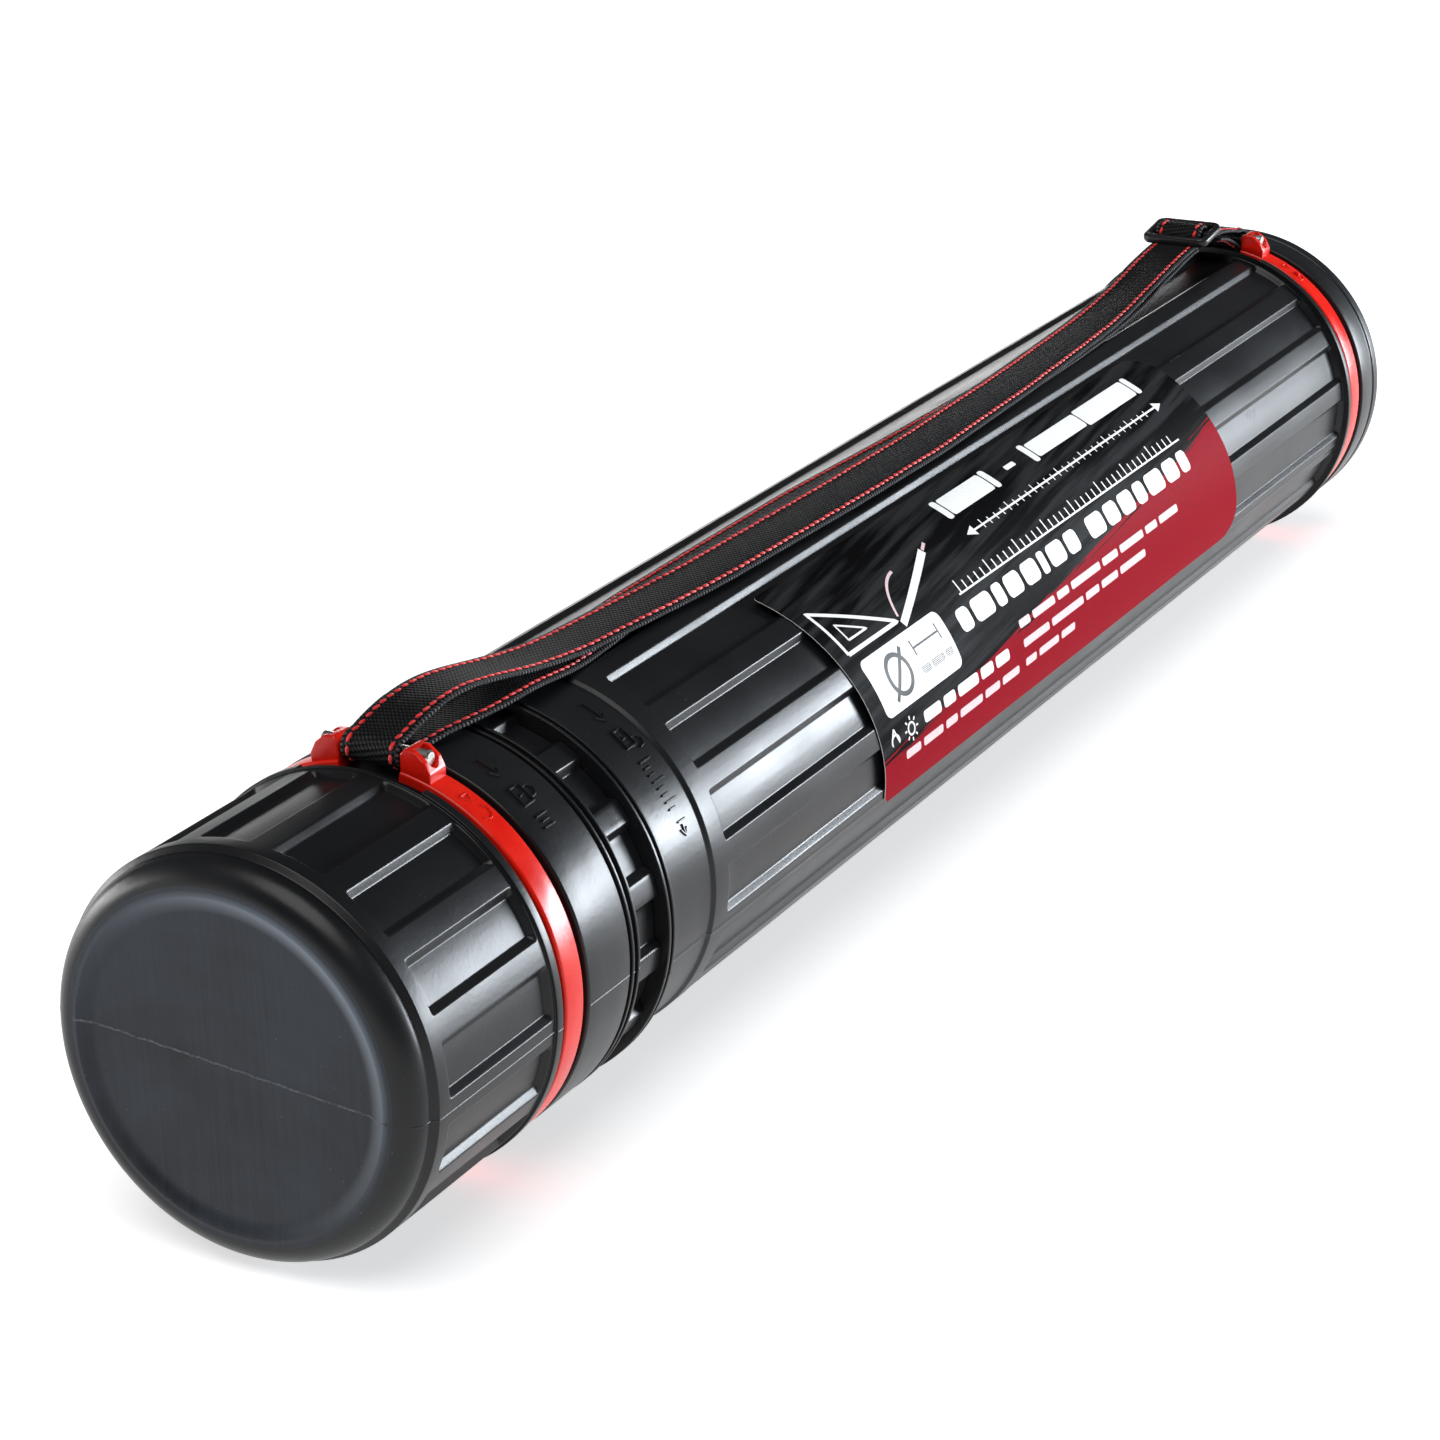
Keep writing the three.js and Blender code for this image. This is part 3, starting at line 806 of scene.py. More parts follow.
def makeInnerTube():
    t = tubes
    head, lock = headSpan, lockSpan
    face = [(dishDepth(r), r) for r in (*np.linspace(1.5, 45, 12), *np.linspace(45.6, 51.8, 16))]
    rounding = arcRows(8.2, 53.4, 7.8, 186, 95, 14)
    barrel, rim, slide, bore = head["barrelRadius"], head["rimRadius"], t["slideRadius"], t["slideBore"]
    back, lockEnd = t["faceBack"], lock["flanges"][-1][1]
    line = [(head["flankStart"] - 0.8, 61.2), (head["flankStart"], 61.1), (head["flankEnd"], barrel),
            (head["rim"][0], barrel), (head["rim"][0], rim), (head["rim"][1], rim),
            (head["rim"][1], t["grooveRadius"]), (lock["band"][0], t["grooveRadius"]),
            (lock["band"][0], lock["bandRadius"], 0.9), (lock["band"][1], lock["bandRadius"], 0.7),
            (lock["band"][1], t["stepRadius"])]
    for start, end in lock["flanges"]:
        line += [(start, t["stepRadius"]), (start, lock["flangeRadius"]), (end, lock["flangeRadius"]),
                 (end, t["gripRadius"] if end == lockEnd else t["stepRadius"])]
    line += [(t["gripEnd"], t["gripRadius"]), (t["gripEnd"], slide)]
    line += [(t["slideEnd"], slide), (t["slideEnd"], bore)]
    outside = profileRows(line, 0.35, 9, pocketStations(*head["pockets"]))
    inside = [(t["slideEnd"], bore), *head["inside"], (back, 50.6)]
    inside = profileRows(inside, 0.5, 80)[1:] + [(back, 30.0), (back, 2.0)]
    angles = ribColumns(t["innerTurn"], [*gapColumns, *slideColumns()])
    rings = []
    paints = []
    for station, radius in [*face, *rounding, *outside, *inside]:
        radii = np.full(len(angles), radius)
        outer = len(rings) < len(face) + len(rounding) + len(outside)
        if outer and head["flankEnd"] < station < head["rim"][0] + 0.01:
            pocket = window(np.array(station), *head["pockets"], 1.4)
            radii -= (t["pocketDepth"] + 0.2) * pocket * (1 - ribShare(angles, t["innerTurn"]))
        between = 1 - ribShare(angles, t["slideTurn"])
        if outer and lockEnd < station < t["gripEnd"] + 0.01 and radius > slide:
            radii -= t["gripDepth"] * between * (radius - slide) / (t["gripRadius"] - slide)
        elif outer and radius < slide + 0.05 and station > lockEnd:
            radii -= t["slideDepth"] * between * (radius - bore) / (slide - bore)
        if outer and radius > 50:
            radii += seamLift(angles, t["innerTurn"]) * min(1, station / 4 + 0.2)
            radii += ripple(station, angles) * min(1, station / 12)
        if outer:
            radii = cutRim(radii, station, angles, head["rim"])
        rings.append(onTube(station, radii, angles))
        paints.append(1 if len(rings) <= len(face) + 2 else 0)
    shape = newShape()
    addRings(shape, rings, (onTube(face[0][0], 0, 0), onTube(back, 0, 0)), paints)
    headSeam(shape)
    lockMarks(shape)
    piece = finishShape(shape, "innerTube", ["plastic", "scuffed", "pinched"])
    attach(piece, "inner")
    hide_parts("inner_tube")
    print("inner tube:", len(piece.data.vertices), "points")


# the pinched-off seam across the head's face, a low crumbly ridge
headRidge = {
    "steps": 150,
    "half": 52.4,  # mm each way from the middle
    "section": ((-0.6, 0.25, 0), (-0.32, 0, -0.08), (-0.04, 0, -0.3), (0.24, 0, -0.1), (0.55, 0.25, 0)),
}


def headSeam(shape):
    source = random.Random(7)
    along = np.linspace(-headRidge["half"], headRidge["half"], headRidge["steps"])
    rough = np.array([source.uniform(0.75, 1.1) for _ in along])
    rough = np.convolve(rough, [0.25, 0.5, 0.25], "same")
    wander = np.convolve([source.uniform(-0.25, 0.25) for _ in along], [0.25, 0.5, 0.25], "same")
    turn = math.radians(tubes["innerTurn"] + 90)
    across = np.array([0, math.cos(turn), math.sin(turn)])
    run = np.array([0, -math.sin(turn), math.cos(turn)])
    rings = []
    for place, height, drift in zip(along, rough, wander):
        level = dishDepth(abs(place))
        ring = []
        for side, sunk, share in headRidge["section"]:
            foot = np.array([headX + (level + sunk + share * height) * mm, 0, axisZ])
            ring.append(foot + (run * place + across * (side + drift)) * mm)
        rings.append(ring)
    addRings(shape, rings, (np.mean(rings[0], 0), np.mean(rings[-1], 0)), [2] * len(rings))


# ---- raised marks on the bands and rings ----
# each mark is a list of strokes, and a stroke is a line of (along, round) points in mm
def arcLine(centre, size, start, end, steps=14):
    angles = np.radians(np.linspace(start, end, steps + 1))
    return [(centre[0] + size * math.cos(a), centre[1] + size * math.sin(a)) for a in angles]


def padlock(closed):
    body = [(-2.2, -2.6), (-2.2, 2.6), (1.6, 2.6), (1.6, -2.6), (-2.2, -2.6)]
    swing = 0 if closed else 2.2
    shackle = [(1.6, -1.6 + swing), *arcLine((2.9, swing), 1.6, -90, 90, 10)]
    shackle += [(1.6, 1.6)] if closed else [(2.2, 1.6 + swing)]
    return [body, shackle, [(-1.0, 0), (0.4, 0)]]


def arrowMark(length):
    half = length / 2
    return [[(0, -half), (0, half)], [(-1.7, half - 2.2), (0, half), (1.7, half - 2.2)]]


def moved(strokes, along, around, scale=1.0):
    return [[(along + a * scale, around + b * scale) for a, b in stroke] for stroke in strokes]


# even short parts of a line, and the sideways direction at each point
def finePath(points, longest):
    line = np.array(points, float)
    fine = [line[0]]
    for a, b in zip(line, line[1:]):
        parts = max(1, math.ceil(np.linalg.norm(b - a) / longest))
        fine += [a + (b - a) * (i + 1) / parts for i in range(parts)]
    fine = np.array(fine)
    heading = np.gradient(fine, axis=0)
    heading /= np.maximum(np.linalg.norm(heading, axis=1, keepdims=True), 1e-9)
    return fine, np.stack([-heading[:, 1], heading[:, 0]], 1)


# strokes as low rounded ridges on a band
def addStrokes(shape, strokes, station, degrees, radius, width, height):
    section = ((-0.5, -0.25), (-0.42, 0.6 * height), (-0.2, height), (0.2, height), (0.42, 0.6 * height),
               (0.5, -0.25))
    for stroke in strokes:
        rings = []
        for point, normal in zip(*finePath(stroke, 0.8)):
            ring = []
            for share, lift in section:
                spot = point + normal * share * width
                turn = degrees + math.degrees(spot[1] / radius)
                ring.append(onTube(station + spot[0], radius + lift, turn))
            rings.append(ring)
        addRings(shape, rings, [np.mean(rings[i], 0) for i in (0, -1)], [0] * len(rings))


# where the marks stand along the tube, and how wide and high they are raised, in mm
bandMarks = {"lockAt": 99.4, "mouthAt": 157.5, "bold": (0.8, 0.7), "fine": (0.75, 0.55)}


def lockMarks(shape):
    radius, at, bold = lockSpan["bandRadius"], bandMarks["lockAt"], bandMarks["bold"]
    ticks = [[(-2.8, 0), (2.8, 0)], [(-1.8, 2), (1.8, 2)], [(-2.8, 4), (2.8, 4)]]
    addStrokes(shape, moved(arrowMark(7), 0, 0, 1.2), at, 24.0, radius, *bold)
    addStrokes(shape, moved(padlock(True), 0, 0, 1.3), at, 35.5, radius, *bold)
    addStrokes(shape, ticks, at, 42.6, radius, *bold)


def mouthMarks(shape):
    radius, at, bold, fine = tubes["adjustRadius"], bandMarks["mouthAt"], bandMarks["bold"], bandMarks["fine"]
    addStrokes(shape, moved(arrowMark(7.5), 0, 0, 1.2), at, 26.0, radius, *bold)
    addStrokes(shape, moved(padlock(False), 0, 0, 1.3), at, 37.5, radius, *bold)
    ticks = [[(-2.4, b), (2.4 if i % 3 == 0 else 0.4, b)] for i, b in enumerate(np.arange(0, 14.5, 1.9))]
    addStrokes(shape, moved(ticks, 0, 0, 1.25), at, 46.0, radius, *fine)
    addStrokes(shape, [[(2.6, 18.6), (-1.6, 18.6)], *moved(arrowMark(3.6), 0, 21.5)], at, 48.5, radius, *fine)


# ---- cap and seal ----
cap = {
    "radius": 63.7,
    "edge": 3.2,  # rounding of the outer edge
    "wall": 2.4,
    "bore": 59.2,
    "groove": (758.8, 761.2),
    "grooveDepth": 0.6,
    "sides": 288,
}
seal = {"inner": 55.2, "outer": 57.3, "waist": 56.9, "sides": 192}


def turnedRings(rows, sides):
    angles = np.arange(sides) * 360 / sides
    return [onTube(station, np.full(sides, radius), angles) for station, radius in rows]


def makeCap():
    low, high = ((corner.x - headX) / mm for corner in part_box("end_cap"))
    start, end = cap["groove"]
    edge = arcRows(high - cap["edge"], cap["radius"] - cap["edge"], cap["edge"], 90, 4, 12)
    floor = cap["radius"] - cap["grooveDepth"]
    line = [(high - cap["wall"], cap["bore"]), (low, cap["bore"]), (low, cap["radius"], 0.8),
            (start, cap["radius"]), (start + 0.5, floor), (end - 0.5, floor), (end, cap["radius"]), edge[0]]
    face = [edge[-1], (high, 54.5), (high - 0.7, 53.2), (high - 0.9, 50), (high - 0.9, 14),
            (high - 0.3, 12.5), (high - 0.3, 1.5)]
    rows = profileRows(line, 0.3, 10) + edge[1:-1] + profileRows(face, 0.6, 10)
    inside = profileRows([(high - cap["wall"], 1.5), (high - cap["wall"], cap["bore"])], 0.3, 10)
    rings = turnedRings(inside[:-1] + rows, cap["sides"])
    shape = newShape()
    addRings(shape, rings, (onTube(high - cap["wall"], 0, 0), onTube(high - 0.3, 0, 0)))
    piece = finishShape(shape, "endCap", ["plastic"])
    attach(piece, "cap")
    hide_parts("end_cap")
    low, high = ((corner.x - headX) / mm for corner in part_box("cap_seal"))
    inner, outer, waist = seal["inner"], seal["outer"], seal["waist"]
    lips = [(low, inner), (low, outer), (low + 1.1, outer), (low + 1.5, waist), (high - 1.5, waist),
            (high - 1.1, outer), (high, outer), (high, inner), (low, inner)]
    shape = newShape()
    addRings(shape, turnedRings(profileRows(lips, 0.25, 10)[:-1], seal["sides"]))
    piece = finishShape(shape, "capSeal", ["rubber"])
    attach(piece, "seal")
    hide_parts("cap_seal")
    print("cap and seal made")


# ---- red clip rings and their steel pins ----
clip = {
    "inner": 60.35,
    "outer": 63.3,
    "gapHalf": 9.7,
    "round": 0.9,
    "lugLength": 8.8,
    "half": 5.0,  # half the ring's width along the tube
    "lug": [(10.4, 60.2), (10.4, 67.8), (12.0, 69.3), (15.6, 69.0), (18.8, 66.4), (20.6, 62.8),
            (20.4, 59.6), (15.6, 58.6)],
    "slot": (14.2, 65.4, 2.7),  # open above the pin's end: sideways, height, half width
    "pinHeight": 66.2,
    "pinRadius": 2.4,
    "pinHalf": 18.4,
    "pinBore": 2.55,
}


def prismPiece(outline, low, high, bevel=0.0):
    work = bmesh.new()
    first = [work.verts.new((headX + low * mm, y * mm, axisZ + z * mm)) for y, z in outline]
    second = [work.verts.new((headX + high * mm, y * mm, axisZ + z * mm)) for y, z in outline]
    work.faces.new(first)
    work.faces.new(second[::-1])
    for i in range(len(outline)):
        work.faces.new((first[i - 1], first[i], second[i], second[i - 1]))
    bmesh.ops.recalc_face_normals(work, faces=work.faces)
    if bevel:
        bmesh.ops.bevel(work, geom=work.edges[:], offset=bevel * mm, segments=3, profile=0.6, affect="EDGES")
    mesh = bpy.data.meshes.new("prism")
    work.to_mesh(mesh)
    work.free()
    piece = bpy.data.objects.new("prism", mesh)
    scene.collection.objects.link(piece)
    return piece


def combine(piece, tool, operation):
    modifier = piece.modifiers.new("cut", "BOOLEAN")
    modifier.operation = operation
    modifier.solver = "EXACT"
    modifier.object = tool
    bpy.context.view_layer.update()
    result = bpy.data.meshes.new_from_object(piece.evaluated_get(bpy.context.evaluated_depsgraph_get()))
    piece.modifiers.clear()
    piece.data = result
    bpy.data.objects.remove(tool)


def pinRings(middle, radius, half, chamfer):
    rings = []
    small = radius - chamfer
    angles = np.radians(np.arange(40) * 9)
    for y, r in ((-half, small), (-half + chamfer, radius), (half - chamfer, radius), (half, small)):
        x = headX + (middle + r * np.cos(angles)) * mm
        z = axisZ + (clip["pinHeight"] + r * np.sin(angles)) * mm
        rings.append(np.stack([x, np.full(40, y * mm), z], -1))
    return rings


def pinShape(middle, radius, half, chamfer, name):
    shape = newShape()
    rings = pinRings(middle, radius, half, chamfer)
    addRings(shape, rings, (np.mean(rings[0], 0), np.mean(rings[-1], 0)))
    return finishShape(shape, name, ["steel"], 30)


def makeClip(end, body):
    low, high = ((corner.x - headX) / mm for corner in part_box("strap_ring_" + end))
    middle = (low + high) / 2
    half, edge = clip["half"], clip["round"]
    section = [(-half, clip["inner"]), *arcRows(-half + edge, clip["outer"] - edge, edge, 180, 90, 5),
               *arcRows(half - edge, clip["outer"] - edge, edge, 90, 0, 5), (half, clip["inner"])]
    angles = np.linspace(clip["gapHalf"], 360 - clip["gapHalf"], 241)
    rings = [np.array([onTube(middle + s, r, a) for s, r in section]) for a in angles]
    shape = newShape()
    addRings(shape, rings, (np.mean(rings[0], 0), np.mean(rings[-1], 0)))
    piece = finishShape(shape, "clipRing." + end, ["red"])
    across, floor, reach = clip["slot"]
    for side in (1, -1):
        outline = [(side * y, z) for y, z in clip["lug"]]
        lug = prismPiece(outline, middle - clip["lugLength"] / 2, middle + clip["lugLength"] / 2, 0.7)
        combine(piece, lug, "UNION")
        slot = [(side * across, floor), (side * 30, floor), (side * 30, 80), (side * across, 80)]
        combine(piece, prismPiece(slot, middle - reach, middle + reach), "DIFFERENCE")
    combine(piece, pinShape(middle, clip["pinBore"], 25, 0.1, "pinBore"), "DIFFERENCE")
    piece.data.materials.clear()
    piece.data.materials.append(finishes["red"])
    piece.data.polygons.foreach_set("material_index", [0] * len(piece.data.polygons))
    tidyMesh(piece.data, 32)
    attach(piece, body)
    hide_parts("strap_ring_" + end)
    marks = newShape()
    if end == "far":
        addStrokes(marks, [[(-1.0, 0), (1.0, 0)]], middle + 0.6, 33.0, clip["outer"], 2.6, 1.0)
    triangle = [(-1.9, -1.5), (1.9, -1.5), (0, 1.5), (-1.9, -1.5)]
    strokes = [triangle, arcLine((0, 6.4), 2.5, 150, -60)]
    addStrokes(marks, strokes, middle + 0.4, 28.0, clip["outer"], 0.7, 0.4)
    mark = finishShape(marks, "clipMark." + end, ["red"])
    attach(mark, body)
    pin = pinShape(middle, clip["pinRadius"], clip["pinHalf"], 0.5, "clipPin." + end)
    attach(pin, body)
    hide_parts("strap_pin_" + end)
    print("clip ring and pin:", end)


# ---- the strap ----
strap = {
    "width": 20.0,
    "thick": 1.3,
    "loopGap": 0.9,
    "step": 2.0,  # mm between rows
    "stitchFromEdge": 2.6,
    "stitchPitch": 3.7,
    "stitchLength": 2.9,
    "threadRadius": 0.55,
    "blendStart": 95,  # stations between which a run follows one body, then the other
    "topBlendEnd": 655,
    "underBlendEnd": 672,
}
# [station, distance from the tube's axis], and [station, sideways]
topRoute = [(83.2, 70.3), (88, 71.7), (96, 73.5), (106, 74.7), (116, 74.6), (128, 73), (144, 70),
            (160, 67.4), (180, 65.6), (210, 64.7), (300, 64.5), (450, 64.5), (560, 64.7), (600, 66),
            (630, 68.6), (655, 72.2), (672, 74.2), (681, 74.9), (692, 75.2), (703, 75.4), (716, 74.4), (728, 72.2), (734, 70.6)]
topDrift = [(80, 0), (92, 0), (120, -1), (200, -3), (260, -7), (350, -9), (420, -9.5), (500, -7), (560, -4),
            (620, -2), (690, 0), (760, 0)]
tuckRoute = [(731.5, 65.6), (726, 68.2), (719, 70.6), (712, 72.0)]  # the end that is sewn back under
underRoute = [(83.6, 62.6), (87, 63.8), (91, 64.8), (96, 65.2), (114, 65.6), (140, 65.9), (160, 64.4),
              (180, 63), (300, 62.9), (450, 62.9), (560, 62.9), (600, 63.9), (630, 66.2), (655, 69.9), (672, 72.2),
              (681, 73.1), (686, 73.2)]
underDrift = [(84, 0), (91, 0), (130, -6), (170, -4), (230, 1), (350, 1), (420, -3), (500, -5), (560, -4),
              (620, -2), (690, 0)]


# an even row of points on a smooth line through the given ones
def smoothLine(points, step):
    points = np.array(points, float)
    padded = np.vstack([2 * points[0] - points[1], points, 2 * points[-1] - points[-2]])
    fine = []
    for p0, p1, p2, p3 in zip(padded, padded[1:], padded[2:], padded[3:]):
        gaps = [max(np.linalg.norm(b - a), 1e-6) ** 0.5 for a, b in ((p0, p1), (p1, p2), (p2, p3))]
        t0, t1 = 0.0, gaps[0]
        t2 = t1 + gaps[1]
        t3 = t2 + gaps[2]
        for t in np.linspace(t1, t2, 24, endpoint=False):
            a1 = (t1 - t) / (t1 - t0) * p0 + (t - t0) / (t1 - t0) * p1
            a2 = (t2 - t) / (t2 - t1) * p1 + (t - t1) / (t2 - t1) * p2
            a3 = (t3 - t) / (t3 - t2) * p2 + (t - t2) / (t3 - t2) * p3
            b1 = (t2 - t) / (t2 - t0) * a1 + (t - t0) / (t2 - t0) * a2
            b2 = (t3 - t) / (t3 - t1) * a2 + (t - t1) / (t3 - t1) * a3
            fine.append((t2 - t) / (t2 - t1) * b1 + (t - t1) / (t2 - t1) * b2)
    fine.append(points[-1])
    fine = np.array(fine)
    travel = np.concatenate([[0], np.cumsum(np.linalg.norm(np.diff(fine, axis=0), axis=1))])
    count = max(4, round(travel[-1] / step))
    places = np.linspace(0, travel[-1], count + 1)
    return np.stack([np.interp(places, travel, fine[:, i]) for i in range(fine.shape[1])], 1), places


# rows of (centre, across, outward) along the webbing; where it lies on the tube it takes its curve
def strapFrames(line, drift):
    route, places = smoothLine(line, strap["step"])
    stations = np.arange(0, 800)
    soft = np.interp(stations, *zip(*drift))
    soft = np.convolve(np.pad(soft, 12, "edge"), np.ones(25) / 25, "valid")
    frames = []
    heading = np.gradient(route, axis=0)
    heading /= np.linalg.norm(heading, axis=1, keepdims=True)
    for (station, height), (ahead, climb) in zip(route, heading):
        side = np.interp(station, stations, soft)
        hug = np.clip((68.5 - height) / 3.5, 0, 1) * np.clip((station - 140) / 40, 0, 1) * (station < 640)
        hug = hug * hug * (3 - 2 * hug)
        sway = 0.03 * math.sin(station * 0.045 + 1) * (1 - hug) * (100 < station < 650)
        lean = math.atan2(-side, height) * hug + sway
        lift = math.sqrt(height ** 2 - side ** 2 * hug)
        travel = np.array([ahead, 0, climb])
        outward = np.array([-climb, 0, ahead])
        across = np.cross(travel, outward)
        turned = outward * math.cos(lean) + across * math.sin(lean)
        across = across * math.cos(lean) - outward * math.sin(lean)
        frames.append((np.array([station, side, lift]), across, turned, hug))
    return frames, places


def strapPoint(frameRow, sideways, outwards):
    centre, across, outward, hug = frameRow
    if hug > 0.02:
        bend = 64.5 / hug
        angle = sideways / bend
        reach = bend + outwards
        sideways, outwards = reach * math.sin(angle), reach * math.cos(angle) - bend
    spot = centre + across * sideways + outward * outwards
    return np.array([headX + spot[0] * mm, spot[1] * mm, axisZ + spot[2] * mm])


def strapSection(width):
    half, thick = width / 2, strap["thick"] / 2
    top = [(w, thick + 0.05 * math.cos(w * 2.4)) for w in np.linspace(-half + 0.7, half - 0.7, 15)]
    edge = [(half - 0.7 + 0.7 * math.sin(a), thick * math.cos(a)) for a in np.radians([35, 65, 90, 115, 145])]
    return top + edge + [(-w, -h) for w, h in top] + [(-w, -h) for w, h in edge]


def addStrap(shape, frames, places):
    section = strapSection(strap["width"])
    rings = [[strapPoint(row, w, h) for w, h in section] for row in frames]
    along = [[(place + 0.01, w) for w, _ in section] for place in places]
    addRings(shape, rings, (np.mean(rings[0], 0), np.mean(rings[-1], 0)), None, np.array(along))


def addStitches(shape, frames, places):
    source = random.Random(21)
    thread, length = strap["threadRadius"], strap["stitchLength"]
    rows = np.arange(len(frames))
    for side in (1, -1):
        lane = side * (strap["width"] / 2 - strap["stitchFromEdge"])
        place = 1.5
        while place + length < places[-1]:
            stitch = length * source.uniform(0.88, 1.06)
            shift = source.uniform(-0.12, 0.12)
            rings = []
            for share, size in ((0.04, 0.45), (0.2, 0.9), (0.5, 1.0), (0.8, 0.9), (0.96, 0.45)):
                at = np.interp(place + stitch * share, places, rows)
                low = int(min(at, len(frames) - 2))
                ring = []
                for turn in range(7):
                    angle = turn * 2 * math.pi / 7
                    w = lane + shift + (share - 0.5) * 0.35 + size * thread * 1.15 * math.cos(angle)
                    h = strap["thick"] / 2 + 0.06 + size * thread * 0.8 * math.sin(angle)
                    near, far = (strapPoint(frames[low + i], w, h) for i in (0, 1))
                    ring.append(near + (far - near) * (at - low))
                rings.append(ring)
            addRings(shape, rings, (np.mean(rings[0], 0), np.mean(rings[-1], 0)))
            place += strap["stitchPitch"]


def pinArc(node, start, end, steps, size):
    low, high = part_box(node)
    station = ((low.x + high.x) / 2 - headX) / mm
    angles = np.radians(np.linspace(start, end, steps))
    return [(station + size * math.cos(a), clip["pinHeight"] + size * math.sin(a)) for a in angles]


# one run of webbing, the thread sewn along it, and its length
def strapRun(name, line, drift):
    frames, places = strapFrames(line, drift)
    shape = newShape()
    addStrap(shape, frames, places)
    cloth = finishShape(shape, name, ["cloth"])
    shape = newShape()
    addStitches(shape, frames, places)
    return cloth, finishShape(shape, name + "Thread", ["thread"]), places[-1]


def makeStrap():
    size = clip["pinRadius"] + strap["loopGap"] + strap["thick"] / 2
    nearTurn = pinArc("strap_pin_near", 285, 100, 12, size)
    farTurn = pinArc("strap_pin_far", 75, -115, 12, size)
    top, topThread, topLength = strapRun("strapTop", [*nearTurn, *topRoute, *farTurn, *tuckRoute], topDrift)
    under, underThread, underLength = strapRun("strapUnder", underRoute, underDrift)
    for piece in (top, topThread):
        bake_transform(piece)
    for piece in (under, underThread):
        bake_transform(piece)
    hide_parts("strap_near_loop", "strap_top_run", "strap_far_tab", "strap_far_loop")
    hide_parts("strap_under_run")
    print("strap:", round(topLength), "mm over and", round(underLength), "mm under")


# ---- the three-bar slider ----
slider = {
    "length": 21,
    "width": 29,
    "thick": 3.6,
    "rail": 3.4,
    "bar": 3.4,
    "corner": 4.2,
    "tilt": -9,  # degrees
    "at": 692,
    "height": 78.7,
}
# the webbing's turn round the middle bar: along and up from its centre, in mm
wrapRoute = [(-8.0, -3.4), (-5.6, -2.0), (-4.5, 0.4), (-3.5, 2.3), (-1.5, 3.3), (1.0, 3.3), (3.2, 2.3),
             (4.3, 0.2), (5.2, -2.0), (7.4, -3.2)]


# station and height of a spot that is given along and up from the slider's centre
def sliderPlace(along, up):
    tilt = math.radians(slider["tilt"])
    return (slider["at"] + along * math.cos(tilt) + up * math.sin(tilt),
            slider["height"] - along * math.sin(tilt) + up * math.cos(tilt))


def sliderSpot(along, across, up):
    station, height = sliderPlace(along, up)
    return np.array([headX + station * mm, across * mm, axisZ + height * mm])


def ovalSection(width, thick, count=20, power=2.6):
    spots = []
    for angle in np.arange(count) * 2 * math.pi / count:
        c, s = math.cos(angle), math.sin(angle)
        wide, tall = (math.copysign(abs(value) ** (2 / power), value) for value in (c, s))
        spots.append((wide * width / 2, tall * thick / 2))
    return spots


def makeSlider():
    length, width = slider["length"] - slider["rail"], slider["width"] - slider["rail"]
    corner = slider["corner"] - slider["rail"] / 2
    outline = []
    for i, (sx, sy) in enumerate(((1, 1), (-1, 1), (-1, -1), (1, -1))):
        centre = (sx * (length / 2 - corner), sy * (width / 2 - corner))
        for angle in np.radians(np.linspace(i * 90, i * 90 + 90, 9)):
            outline.append((centre[0] + corner * math.cos(angle), centre[1] + corner * math.sin(angle),
                            math.cos(angle), math.sin(angle)))
    section = ovalSection(slider["rail"], slider["thick"])
    rings = [[sliderSpot(x + nx * w, y + ny * w, h * (1 + 0.12 * abs(nx))) for w, h in section]
             for x, y, nx, ny in outline]
    shape = newShape()
    addRings(shape, rings)
    bar = ovalSection(slider["bar"], slider["thick"] - 0.6)
    rings = [[sliderSpot(w, y, h) for w, h in bar] for y in np.linspace(-width / 2, width / 2, 9)]
    addRings(shape, rings, (sliderSpot(0, -width / 2, 0), sliderSpot(0, width / 2, 0)))
    piece = finishShape(shape, "strapSlider", ["buckle"])
    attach(piece, "slider")
    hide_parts("strap_slider")
    line = [sliderPlace(along, up) for along, up in wrapRoute]
    wrap, thread, length = strapRun("strapWrap", line, [(600, 0), (700, 0)])
    for item in (wrap, thread):
        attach(item, "slider")
    print("slider made")


# ---- label ----
label = {
    "start": 262,
    "length": 318,
    "low": 23.5,  # degrees
    "high": 107.0,
    "skew": 0.3,  # mm along for each degree
    "lift": 0.3,
    "thick": 0.25,
    "corners": (2.0, 13.0, 13.0, 4.0),  # upper left, upper right, lower right, lower left
    "ink": 0.05,
    "inkSunk": -0.02,  # the ink's underside, just inside the film
}
labelRadius = tubes["bodyRadius"] + label["lift"] + label["thick"]
labelHeight = math.radians(label["high"] - label["low"]) * labelRadius


def onLabel(along, down, lift):
    degrees = label["low"] + np.degrees(np.asarray(down, float) / labelRadius)
    station = label["start"] + along + label["skew"] * (degrees - label["low"])
    return onTube(station, labelRadius + lift, degrees)


# a patch between two edges, given as functions of the distance along
def addPatch(shape, alongs, upper, lower, top, bottom, paint=0, edgePaint=None, step=0.6):
    tall = max(lower(a) - upper(a) for a in alongs)
    shares = np.linspace(0, 1, max(2, math.ceil(tall / step) + 1))
    spots = np.array([[(a, upper(a) + (lower(a) - upper(a)) * t) for t in shares] for a in alongs])
    grids = [onLabel(spots[..., 0], spots[..., 1], lift) for lift in (top, bottom)]
    addSlab(shape, grids[0], grids[1], paint, edgePaint, spots)


